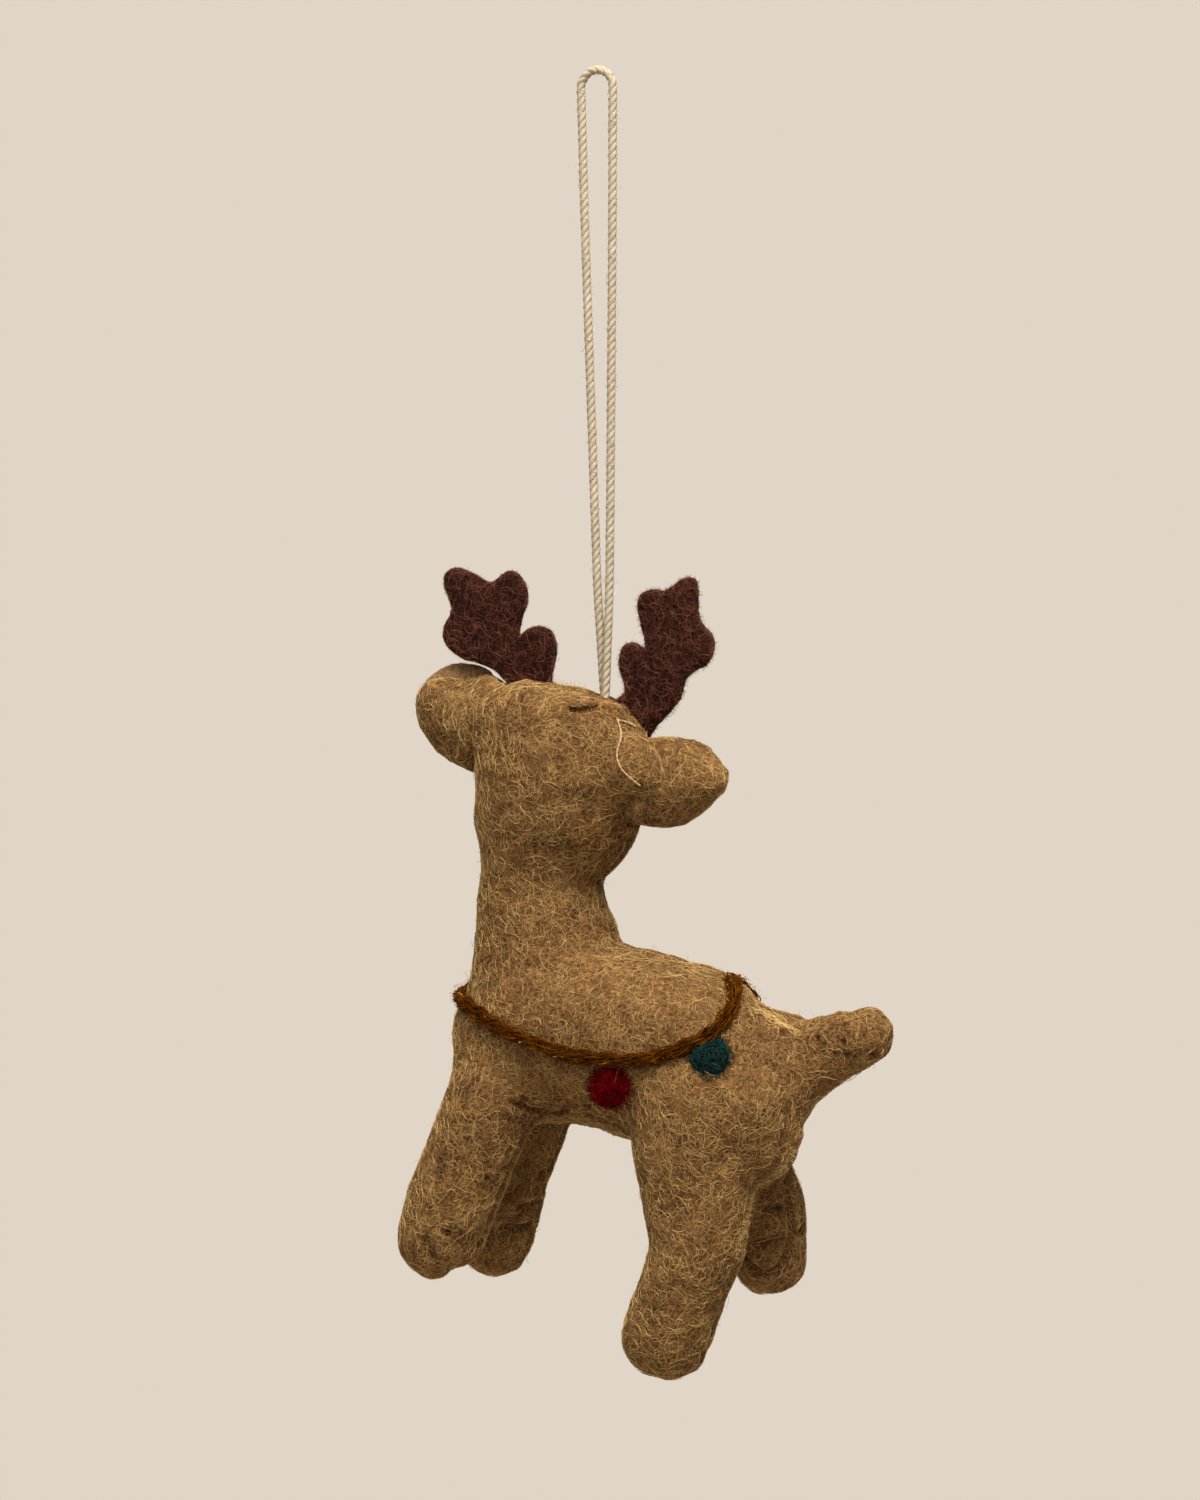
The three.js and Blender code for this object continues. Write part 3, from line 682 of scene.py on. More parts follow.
@dataclass
class Tubes:
    """A bundle of thin tubes that becomes one mesh."""

    sides: int = 3
    points: list[Rows] = field(default_factory=list)
    values: list[Rows] = field(default_factory=list)
    faces: list[Rows] = field(default_factory=list)
    caps: list[Rows] = field(default_factory=list)
    total: int = 0
    count: int = 0
    steps: int = 0

    def add(self, paths: Rows, across: Rows, radius: Rows, values: Rows) -> None:
        """Add tubes that all have the same number of points.

        Args:
            paths: Points, by tube and step.
            across: A direction roughly across each path.
            radius: Radius, by tube and step.
            values: The number kept in the mesh, by tube and step.
        """
        many, steps, _ = paths.shape
        along = unit(np.gradient(paths, axis=1))
        side = unit(across - along * np.sum(across * along, axis=-1, keepdims=True))
        other = np.cross(along, side)
        turn = np.arange(self.sides) * 2 * math.pi / self.sides
        ring = side[:, :, None] * np.cos(turn)[:, None] + other[:, :, None] * np.sin(turn)[:, None]
        rim = paths[:, :, None] + ring * radius[:, :, None, None]
        self.points.append(rim.reshape(-1, 3))
        self.values.append(np.repeat(values.reshape(-1), self.sides))
        base = self.total + np.arange(many)[:, None, None] * steps * self.sides
        j = np.arange(steps - 1)[:, None] * self.sides
        k = np.arange(self.sides)
        n = (k + 1) % self.sides
        quad = np.stack([j + k, j + n, j + n + self.sides, j + k + self.sides], axis=-1)
        self.faces.append((base[..., None] + quad).reshape(-1, 4))
        ends = np.stack([k[::-1], (steps - 1) * self.sides + k])
        self.caps.append((base + ends).reshape(-1, self.sides))
        self.total += many * steps * self.sides
        self.count += many
        self.steps = steps

    def run(self, path: Rows, across: Rows, radius: float | Rows, value: float | Rows) -> None:
        """Add one tube, its values given once for the whole tube or for each point."""
        many = len(path)
        rows = np.broadcast_to(across, (1, many, 3))
        self.add(path[None], rows, np.broadcast_to(radius, (1, many)), np.broadcast_to(value, (1, many)))

    def hairs(self, name: str, finish: Material, slot: Slot, body: Body = Body.REINDEER) -> Piece:
        """Make the tubes as dressed hairs, each with its own cell of a map."""
        return Bench.dress(self.make(name, "tint", True), finish, slot, body)

    def make(self, name: str, value_name: str, mapped: bool = False) -> Piece:
        """Make the mesh.

        Args:
            name: The piece's name.
            value_name: Name of the number kept for each point.
            mapped: Give each tube its own cell of a map.

        Returns:
            The piece.
        """
        sides = np.vstack(self.faces)
        caps = np.vstack(self.caps)
        made = Bench.mesh(name, np.vstack(self.points), sides.tolist() + caps.tolist())
        Bench.keep(made, value_name, np.concatenate(self.values))
        if mapped:
            made.data.uv_layers.new(name=BAKE_MAP).data.foreach_set("uv", self._map().ravel())
        Bench.smooth(made)
        return made

    def _map(self) -> Rows:
        """Lay each tube out flat in its own square cell, its caps at the cell's ends."""
        grid = math.ceil(math.sqrt(self.count))
        cell = np.stack([np.arange(self.count) % grid, np.arange(self.count) // grid], axis=1)
        j = np.arange(self.steps - 1)[:, None] / (self.steps - 1) * 0.74 + 0.13
        step = 0.74 / (self.steps - 1)
        k = np.arange(self.sides) / self.sides * 0.9 + 0.05
        high = 0.9 / self.sides
        u = np.stack([j + 0 * k, j + 0 * k, j + step + 0 * k, j + step + 0 * k], axis=-1)
        v = np.stack([k + 0 * j, k + high + 0 * j, k + high + 0 * j, k + 0 * j], axis=-1)
        strip = np.stack([u, v], axis=-1).reshape(-1, 2)
        turn = np.arange(self.sides) * 2 * math.pi / self.sides
        disc = np.stack([0.05 * np.cos(turn), 0.4 * np.sin(turn)], axis=1)
        ends = np.vstack([disc[::-1] + (0.06, 0.5), disc + (0.94, 0.5)])
        tubes = (cell[:, None] + strip).reshape(-1, 2)
        caps = (cell[:, None] + ends).reshape(-1, 2)
        return np.vstack([tubes, caps]) / grid


@dataclass
class Coat:
    """Curling hairs that lie on a felt surface, with sizes in millimetres."""

    seed: int
    length: Span = (3.2, 7.0)
    thick: Span = (0.022, 0.044)
    curl: float = 0.62
    lift: float = 0.18
    stray: float = 0.02
    steps: int = 7
    tint: Span = (0.0, 1.0)

    def __post_init__(self) -> None:
        """Turn the sizes into metres."""
        self.length = tuple(value * MM for value in self.length)
        self.thick = tuple(value * MM for value in self.thick)
        self.curl, self.lift = self.curl / MM, self.lift * MM

    def grow(self, skin: Piece, count: int, allow: Callable[[Rows], Rows] | None = None,
             holes: Rows | None = None) -> Tubes:
        """Grow hairs over a skin.

        Args:
            skin: The felt piece.
            count: How many hairs to start.
            allow: Tells which root points may carry a hair.
            holes: Points that no hair runs over, each with its clear distance.

        Returns:
            The hairs as tubes.
        """
        dice = np.random.default_rng(self.seed)
        roots, facing = self.roots(skin, count, dice)
        if allow is not None:
            kept = allow(roots)
            roots, facing = roots[kept], facing[kept]
        return self.lay(skin, roots, facing, dice, holes)

    def lay(self, skin: Piece, roots: Rows, facing: Rows, dice: np.random.Generator,
            holes: Rows | None = None) -> Tubes:
        """Lay one hair from each root.

        Args:
            skin: The felt piece.
            roots: Root points.
            facing: Skin normals at the roots.
            dice: Source of seeded numbers.
            holes: Points that no hair runs over, each with its clear distance.

        Returns:
            The hairs as tubes.
        """
        many = len(roots)
        tree = Bench.tree(skin)
        length = dice.uniform(*self.length, many)
        step = length / (self.steps - 1)
        heading = unit(np.cross(facing, unit(dice.normal(size=(many, 3)))))
        bend = dice.normal(0, self.curl, many)
        change = dice.normal(0, self.curl * 1.1, many)
        waver = dice.normal(0, self.curl * 0.9, (self.steps, many))
        wild = dice.random(many) < self.stray
        peak = self.lift * dice.uniform(0.2, 1.0, many) ** 2 * np.where(wild, 5.0, 1.0)
        phase = dice.uniform(0, math.pi, many)
        here = roots.copy()
        path = np.empty((many, self.steps, 3))
        normal = np.empty((many, self.steps, 3))
        for s in range(self.steps):
            if s:
                angle = (bend + change * (s / self.steps - 0.5) * 2 + waver[s]) * step
                heading = around(heading, np.cross(facing, heading), angle)
                here, facing = split([tree.find_nearest(p) for p in here + heading * step[:, None]])
                heading = unit(heading - facing * np.sum(heading * facing, axis=1, keepdims=True))
            share = s / (self.steps - 1)
            wave = 0.35 + 0.65 * np.abs(np.sin(phase + share * math.pi * 1.7))
            ends = min(1.0, 6 * share, 6 * (1 - share))
            rise = 0.25 * self.thick[1] + peak * wave * np.where(wild, share, ends)
            path[:, s] = here + facing * rise[:, None]
            normal[:, s] = facing
        to_end = np.minimum(np.linspace(0, 1, self.steps), np.linspace(1, 0, self.steps))
        taper = np.minimum(1.0, 0.35 + 2.2 * to_end)
        radius = dice.uniform(*self.thick, many)[:, None] * taper
        shade = self.tint[0] + (self.tint[1] - self.tint[0]) * dice.beta(0.9, 1.1, many)
        tint = np.repeat(shade[:, None], self.steps, axis=1)
        kept = np.full(many, True)
        for *hole, clear in holes if holes is not None else ():
            kept &= np.linalg.norm(path - np.array(hole), axis=2).min(axis=1) > clear
        tubes = Tubes()
        tubes.add(path[kept], normal[kept], radius[kept], tint[kept])
        return tubes

    @staticmethod
    def roots(skin: Piece, count: int, dice: np.random.Generator) -> tuple[Rows, Rows]:
        """Scatter root points evenly over a skin, with their normals."""
        skin.data.calc_loop_triangles()
        corners = np.empty(len(skin.data.loop_triangles) * 3, np.int32)
        skin.data.loop_triangles.foreach_get("vertices", corners)
        tri = Bench.points(skin)[corners.reshape(-1, 3)]
        cross = np.cross(tri[:, 1] - tri[:, 0], tri[:, 2] - tri[:, 0])
        area = np.linalg.norm(cross, axis=1)
        pick = dice.choice(len(tri), count, p=area / area.sum())
        a, b = dice.random(count), dice.random(count)
        flip = a + b > 1
        a, b = np.where(flip, 1 - a, a), np.where(flip, 1 - b, b)
        tri = tri[pick]
        spots = tri[:, 0] + a[:, None] * (tri[:, 1] - tri[:, 0]) + b[:, None] * (tri[:, 2] - tri[:, 0])
        return spots, unit(cross[pick])


# ---------------------------------------------------------------- cord and yarn


@dataclass
class HangingLoop:
    """The twisted cotton loop and the knot that holds it in the crown seam."""

    strand: Pixels = (
        (2.6, 8), (2.45, 18), (2.2, 30), (1.9, 43), (1.6, 56), (1.3, 69), (1.0, 80), (0.78, 87), (0.62, 92),
        (0.4, 97.5))
    top_bend: float = 2.7
    top_drop: float = 2.0
    top_steps: int = 6
    diameter: float = 1.4
    length: float = 194.4
    plies: int = 3
    ply_radius: float = 0.47
    ply_offset: float = 0.24
    pitch: float = 3.7
    knot_drop: float = 98.0
    knot_length: float = 1.4
    lap_drop: float = 80.0
    lap_run: float = 22.0
    bare_drop: float = 92.5
    hairs: int = 900

    def route(self) -> Rows:
        """Give the loop's centreline, from the left strand's foot over its top to the right one's."""
        lap = [max(0.0, drop - self.lap_drop) / self.lap_run for _, drop in self.strand]
        right = [(out, -shift, -drop) for (out, drop), shift in zip(self.strand, lap)]
        left = [(-x, -y, z) for x, y, z in reversed(right)]
        turns = [math.pi * i / self.top_steps for i in range(self.top_steps + 1)]
        arc = [(-self.top_bend * math.cos(a), 0.0, -self.top_drop + self.top_bend * math.sin(a))
               for a in turns]
        return np.array(left + arc + right) * MM

    def build(self, palette: Palette) -> None:
        """Make the loop, its stray hairs and its knot."""
        path = even(self.route(), 0.24 * MM)
        loop = self._twist(path, "cotton_loop")
        Bench.dress(loop, palette.cotton, Slot.COTTON, Body.HANGER)
        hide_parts("hanging_cord")
        fuzz = Coat(41, (0.7, 1.9), (0.022, 0.034), curl=0.5, lift=0.3, stray=0.35, steps=5, tint=(0.3, 1.0))
        tubes = fuzz.grow(loop, self.hairs, lambda p: p[:, 2] > -self.bare_drop * MM)
        tubes.hairs("cotton_loop_hairs", palette.cream_hair, Slot.COTTON, Body.HANGER)
        self._knot(palette)

    def _twist(self, path: Rows, name: str) -> Piece:
        """Twist the plies round a path."""
        _, side, other = frames(path, (0, 1, 0))
        reach = reach_along(path) / MM
        rope = Tubes(sides=8)
        for ply in range(self.plies):
            turn = 2 * math.pi * (reach / self.pitch + ply / self.plies)
            out = around(side, other, turn)
            rope.run(path + out * self.ply_offset * MM, out, self.ply_radius * MM, 1.0)
        made = rope.make(name, "crest")
        points = Bench.points(made)
        rim = np.tile(np.repeat(np.arange(len(path)), rope.sides), self.plies)
        height = np.linalg.norm(points - path[rim], axis=1) / MM
        low, high = self.ply_offset * 0.6, self.ply_offset + self.ply_radius
        # crest number: the ply's height, which the strand finish turns into painted shade in the grooves
        Bench.keep(made, "crest", np.clip((height - low) / (high - low), 0, 1))
        return made

    def _knot(self, palette: Palette) -> None:
        """Make the cord's knotted end, drawn down into the crown seam where the felt hides it."""
        drop = -self.knot_drop - np.linspace(0, self.knot_length, 8)
        knot = self._twist(np.stack([0 * drop, 0 * drop, drop], axis=1) * MM, "cotton_knot")
        Bench.dress(knot, palette.cotton, Slot.COTTON, Body.SWIVEL)
        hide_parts("cord_knot")


# ---------------------------------------------------------------- stuffed body


@dataclass(frozen=True)
class Seat:
    """Where an ear or antler is sewn into the crown seam."""

    point: Row
    along: Row
    out: Row

    def at(self, out: float = 0.0, along: float = 0.0) -> Vector:
        """Give a point by its distances from the seam, in metres."""
        return Vector(self.point) * MM + Vector(self.out) * out + Vector(self.along) * along


LEFT_EAR_SEAT = Seat((-19.7836, 0, -101.5763), (0.4384, 0, 0.8988), (-0.8988, 0, 0.4384))
RIGHT_EAR_SEAT = Seat((6.5894, 0, -109.6393), (-0.1391, 0, -0.9903), (0.9903, 0, -0.1391))
LEFT_ANTLER_SEAT = Seat((-12.8487, 0, -94.2622), (0.9787, 0, 0.2055), (-0.2055, 0, 0.9787))
RIGHT_ANTLER_SEAT = Seat((4.9301, 0, -99.6977), (0.6964, 0, -0.7176), (0.7176, 0, 0.6964))
SEATS = ((LEFT_EAR_SEAT, 4.6, 1.9), (RIGHT_EAR_SEAT, 4.0, 1.9), (LEFT_ANTLER_SEAT, 3.5, 1.45),
         (RIGHT_ANTLER_SEAT, 3.5, 1.6))


@dataclass(frozen=True)
class Pull:
    """A soft pull of the felt across the picture, by picture points, between two depths in millimetres."""

    middle: Span
    reach: float
    by: Span
    nearest: float = -40.0
    furthest: float = 40.0

    def shift(self, points: Rows) -> Rows:
        """Give how far each point moves."""
        right, top, back = (np.array(axis) for axis in SIGHT.turn().transposed())
        seen = points - np.array(SIGHT.eye())
        depth = -(seen @ back)
        px = SIGHT.frame_px[0] / 2 + (seen @ right) / depth * SIGHT.distance / SIGHT.pixel
        py = SIGHT.frame_px[1] / 2 - (seen @ top) / depth * SIGHT.distance / SIGHT.pixel
        share = np.exp(-((px - self.middle[0]) ** 2 + (py - self.middle[1]) ** 2) / self.reach**2)
        y = points[:, 1] / MM
        share *= grade(y, self.nearest, 2) * grade(-y, -self.furthest, 2)
        way = right * self.by[0] * SIGHT.pixel - top * self.by[1] * SIGHT.pixel
        return share[:, None] * way


def pulled(points: Rows, pulls: Iterable[Pull]) -> Rows:
    """Move points by each pull in turn."""
    for pull in pulls:
        points = points + pull.shift(points)
    return points


@dataclass
class FeltBody:
    """The stuffed felt skin of body, head, tail and legs, with its sewn seams."""

    voxel: float = 0.8 * MM
    fine_voxel: float = 0.52 * MM
    seam_step: float = 0.4 * MM
    stitch_pitch: float = 4.3 * MM
    gusset_lean: float = 0.0796
    shortest_seam: int = 25
    crown_lump: float = 2.5 * MM
    crown_place: Row = (0, 0, -98.9 * MM)
    seam_lip: float = 0.28 * MM
    lip_away: float = 1.1 * MM
    lip_wide: float = 0.5 * MM
    seam_groove: float = 0.42 * MM
    groove_wide: float = 0.45 * MM
    stitch_deep: float = 0.5 * MM
    stitch_wide: float = 1.15 * MM
    stitch_shade_wide: float = 0.75 * MM
    lumps: float = 0.28 * MM
    shells: tuple[str, ...] = (
        "side_panel_left", "side_panel_right", "belly_gusset", "torso_stuffing", "head_stuffing",
        "neck_stuffing", "tail_stuffing", "leg_front_left_stuffing", "leg_front_right_stuffing",
        "leg_rear_left_stuffing", "leg_rear_right_stuffing", "muzzle")
    fills: tuple[tuple[float, float, float, float], ...] = (
        (744, 1112, -8.5, 7.4), (757, 1141, -7.0, 6.2), (775, 1092, -3.5, 6.0),
        (750, 1120, 6.5, 7.0), (756, 1141, 6.0, 6.0),
        (516, 714, -4.0, 5.0), (497, 722, -3.2, 4.8), (482, 722, -2.6, 4.2),
        (628, 768, -4.2, 5.2), (643, 776, -3.2, 4.8))
    folds: tuple[tuple[Pixels, float, float], ...] = (
        (((573, 709), (581, 710), (590, 709), (598, 707), (606, 706)), 0.6, 0.6),
        (((512, 1101), (521, 1106), (534, 1110), (548, 1111), (568, 1108)), 0.55, 0.45),
        (((425, 1240), (429, 1248), (432, 1257)), 0.72, 1.3),
        (((548, 1171), (541, 1174)), 0.7, 0.6), (((539, 1202), (532, 1205), (522, 1205)), 0.7, 0.55),
        (((532, 1224), (523, 1227), (510, 1226), (502, 1229)), 0.7, 0.5),
        (((788, 1170), (786, 1188), (788, 1206), (791, 1228), (788, 1248), (779, 1266), (767, 1275)),
         0.55, 0.7),
        (((766, 1209), (773, 1207), (781, 1209)), 0.6, 0.8),
        (((757, 1242), (770, 1240), (784, 1237)), 0.55, 0.5),
        (((745, 1259), (752, 1266), (760, 1273)), 0.6, 0.8), (((799, 1187), (794, 1190)), 0.7, 0.8),
        (((802, 1231), (796, 1233)), 0.7, 0.8), (((633, 798), (637, 810), (641, 821)), 0.9, 0.6))
    pits: tuple[tuple[float, float, float, float], ...] = (
        (759, 1017, 0.7, 1.2), (784, 1034, 0.55, 0.9), (798, 1042, 0.45, 0.5), (817, 1039, 0.5, 1.3),
        (817, 1043, 0.5, 0.9), (843, 1043, 0.5, 0.8), (864, 1036, 0.5, 0.4), (873, 1055, 0.55, 0.7),
        (448, 1233, 0.6, 1.0), (488, 1178, 0.5, 0.7), (521, 1106, 0.8, 1.0), (532, 1110, 0.7, 0.7),
        (545, 1110, 0.7, 0.7), (556, 1109, 0.6, 0.6), (566, 1108, 0.7, 0.7), (587, 1106, 0.5, 0.6),
        (523, 1098, 0.5, 0.6),
        (636, 818, 1.2, 0.9), (571, 709, 0.6, 1.0), (609, 710, 0.7, 1.0), (470, 768, 1.0, 0.7),
        (410, 1253, 2.2, -0.6), (447, 1250, 2.0, -0.6), (462, 1223, 1.9, -0.6), (432, 1226, 2.0, -0.35))
    pulls: tuple[Pull, ...] = (
        Pull((464, 792), 30, (7, 0)),
        Pull((778, 985), 24, (-6, 13)),
        Pull((450, 990), 24, (9, 0)),
        Pull((585, 1132), 30, (0, -5)),
        Pull((808, 1152), 30, (-15, 0), 1.0, 40.0),
        Pull((732, 1310), 40, (-6, 0), -40.0, -1.0),
        Pull((612, 935), 22, (3, -2)),
        Pull((805, 1135), 9, (8, 0)),
        Pull((852, 1010), 7, (0, 4)),
        Pull((801, 1023), 8, (0, -3)),
        Pull((552, 676), 18, (0, 6)),
        Pull((618, 693), 9, (0, 6), -40.0, 2.0),
        Pull((460, 1274), 14, (-7, -7), -40.0, 0.0),
        Pull((553, 1180), 40, (-5, 0), 1.0, 40.0),
        Pull((632, 1152), 26, (-5, 0), -40.0, 0.0))
    stitches: list[Rows] = field(default_factory=list)
    holes: list[Vector] = field(default_factory=list)

    def build(self, nodes: dict[str, Piece], palette: Palette) -> Piece:
        """Make the skin and dress it.

        Args:
            nodes: The CAD nodes by name.
            palette: The finishes.

        Returns:
            The skin.
        """
        skin = self._form(nodes)
        self._stuff(skin)
        # painted shade in the seam grooves, stitch dents, needle holes and creases, kept as the pit number
        dark = self._sew(skin)
        dark = np.maximum(dark, self._press_pits(skin))
        Bench.apply(skin, "SMOOTH", factor=0.3, iterations=1)
        Bench.keep(skin, "pit", np.clip(dark, 0, 1))
        Bench.smooth(skin)
        Bench.dress(skin, palette.camel, Slot.CAMEL)
        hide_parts(*self.shells)
        return skin

    def _form(self, nodes: dict[str, Piece]) -> Piece:
        """Run one closed skin over the panels, the wadding and the muzzle."""
        parts = [Bench.copy(nodes[name], "felt_body") for name in self.shells]
        for seat, half, thick in SEATS:
            Bench.pick()
            turn = Vector((0, 0, 1)).rotation_difference(Vector(seat.along)).to_euler()
            bpy.ops.mesh.primitive_cylinder_add(vertices=16, radius=thick * MM, depth=2 * (half + 0.4) * MM,
                                                location=seat.at(-0.6 * MM), rotation=turn)
            bpy.ops.object.transform_apply(location=True, rotation=True, scale=True)
            parts.append(bpy.context.object)
        parts.append(Bench.ball(self.crown_lump, self.crown_place, 24, 16))
        for px, py, y, radius in self.fills:
            parts.append(Bench.ball(radius * MM, SIGHT.place(px, py, y * MM), 28, 18))
        skin = Bench.join(parts, "felt_body")
        Bench.soften(skin, self.voxel, 9, 0.3 * MM)
        self._ease(skin)
        Bench.soften(skin, self.fine_voxel, 6)
        return skin

    def _ease(self, skin: Piece) -> None:
        """Draw the side felt smoothly from body to legs and from head to neck, as one panel."""
        x, y, z = Bench.points(skin).T / MM
        flank = grade(z, -172, 8) * grade(-z, 136, 7) * grade(np.abs(y), 4, 4)
        nape = grade(z, -140, 7) * grade(-z, 113, 6) * grade(-y, -2, 4) * grade(-x, -2, 8)
        roots = np.zeros(len(x))
        for seat, _, _ in SEATS[:2]:
            away = np.hypot(x - seat.point[0], z - seat.point[2])
            roots = np.maximum(roots, np.clip((13 - away) / 5, 0, 0.7) * grade(-y, -1, 4))
        group = skin.vertex_groups.new(name="eased")
        for index, weight in enumerate(np.maximum(np.maximum(flank, nape), roots)):
            group.add([index], float(weight), "REPLACE")
        Bench.apply(skin, "SMOOTH", factor=0.5, iterations=90, vertex_group="eased")
        skin.vertex_groups.clear()

    def _stuff(self, skin: Piece) -> None:
        """Make the stuffing a little uneven, as it is by hand."""
        points, facing = Bench.points(skin), Bench.normals(skin)
        swell = ripple(points, (1.0, 7.5), (0.45, 3.1))
        Bench.move(skin, pulled(points + facing * (swell * self.lumps)[:, None], self.pulls))

    def _seam_lines(self, skin: Piece) -> list[Rows]:
        """Cut the skin by the seam planes and give the cuts as evenly spaced closed lines."""
        planes = (((0, 0, -0.12), (0, 1, 0), lambda p: p[:, 2] > -0.165),
                  ((0, 0.009, -0.155), (0, 1, self.gusset_lean), lambda p: p[:, 2] < -0.153),
                  ((0, -0.009, -0.155), (0, -1, self.gusset_lean), lambda p: p[:, 2] < -0.153))
        lines: list[Rows] = []
        for point, normal, inside in planes:
            cut = bmesh.new()
            cut.from_mesh(skin.data)
            whole = [*cut.verts, *cut.edges, *cut.faces]
            found = bmesh.ops.bisect_plane(cut, geom=whole, plane_co=point, plane_no=normal)
            edges = [e for e in found["geom_cut"] if isinstance(e, bmesh.types.BMEdge)]
            for loop in self._chains(edges):
                spaced = even(loop, self.seam_step)
                lines.append(spaced[inside(spaced)])
            cut.free()
        return [line for line in lines if len(line) > self.shortest_seam]

    @staticmethod
    def _chains(edges: Iterable[bmesh.types.BMEdge]) -> list[Rows]:
        """Join cut edges into lines."""
        links: dict[int, list[int]] = {}
        spots: dict[int, Row] = {}
        for edge in edges:
            a, b = edge.verts
            spots[id(a)], spots[id(b)] = tuple(a.co), tuple(b.co)
            links.setdefault(id(a), []).append(id(b))
            links.setdefault(id(b), []).append(id(a))
        chains, used = [], set()
        for start in links:
            if start in used:
                continue
            chain, now = [], start
            while now is not None:
                used.add(now)
                chain.append(spots[now])
                now = next((n for n in links[now] if n not in used), None)
            if len(chain) > 8:
                chains.append(np.array(chain))
        return chains

    def _sew(self, skin: Piece) -> Rows:
        """Press the seams in, raise their lips and pull in each stitch.

        Args:
            skin: The felt skin.

        Returns:
            How much painted shade each point gets, in the seam grooves and stitch dents.
        """
        points, facing = Bench.points(skin), Bench.normals(skin)
        dark = np.zeros(len(points))
        rise = np.zeros(len(points))
        every = int(round(self.stitch_pitch / self.seam_step))
        find = KDTree(len(points))
        for i, p in enumerate(points):
            find.insert(p, i)
        find.balance()
        away = np.full(len(points), 1.0)
        for line in self._seam_lines(skin):
            for p in line:
                for _, i, d in find.find_range(p, 2.2 * MM):
                    away[i] = min(away[i], d)
            for n in range(every // 2, len(line) - 1, every):
                self.stitches.append(np.stack([line[n], line[min(n + 2, len(line) - 1)] - line[n - 2]]))
                for _, i, d in find.find_range(line[n], 2.4 * MM):
                    rise[i] -= self.stitch_deep * math.exp(-((d / self.stitch_wide) ** 2))
                    # painted shade in each stitch's dent
                    dark[i] = max(dark[i], 0.5 * math.exp(-((d / self.stitch_shade_wide) ** 2)))
        calm = 1 - 0.7 * grade(points[:, 0], 24 * MM, 4 * MM) * grade(-points[:, 2], 149 * MM, 4 * MM)
        rise += self.seam_lip * np.exp(-(((away - self.lip_away) / self.lip_wide) ** 2))
        rise -= self.seam_groove * np.exp(-((away / self.groove_wide) ** 2))
        # painted shade along the seam groove
        dark = np.maximum(dark, 0.45 * np.exp(-((away / (0.4 * MM)) ** 2)))
        Bench.move(skin, points + facing * (rise * calm)[:, None])
        return dark * calm

    def _press_pits(self, skin: Piece) -> Rows:
        """Press in the needle holes and creases that the picture shows, and raise the puffs between them.

        Args:
            skin: The felt skin.

        Returns:
            How much painted shade each point gets, in the holes and creases.
        """
        tree = Bench.tree(skin)
        points, facing = Bench.points(skin), Bench.normals(skin)
        dark = np.zeros(len(points))
        creases = [(*px, wide, deep, 0.1) for run, wide, deep in self.folds
                   for px in even(np.array([(*p, 0.0) for p in run]), 3.0)[:, :2]]
        for px, py, wide, deep, lip in (*((*pit, 0.3) for pit in self.pits), *creases):
            spot = SIGHT.hit(tree, px, py)[0]
            if spot is None:
                LOG.info("no felt under picture point %s %s", px, py)
                continue
            share = np.linalg.norm(points - np.array(spot), axis=1) / (wide * MM)
            if deep > 0:
                self.holes.append(spot)
                # painted shade in the pressed hole or crease
                dark = np.maximum(dark, min(0.95, 0.3 + 0.5 * deep) * np.exp(-((share / 0.62) ** 2)))
            points -= facing * (deep * MM * np.exp(-share**2))[:, None]
            points += facing * (lip * deep * MM * np.exp(-((share - 1.9) ** 2) * 2.5))[:, None]
        Bench.move(skin, points)
        return dark


# ---------------------------------------------------------------- ears and antlers


@dataclass
class Flap:
    """A felt flap that is sewn into the crown seam."""

    side: str
    seat: Seat
    body: Body

    def sew(self, made: Piece, finish: Material, slot: Slot, bend: float) -> None:
        """Dress a piece of the flap and bake its place into its mesh."""
        Bench.dress(made, finish, slot, None)
        self.seat.at()
        self.seat.at(bend)
        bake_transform(made)


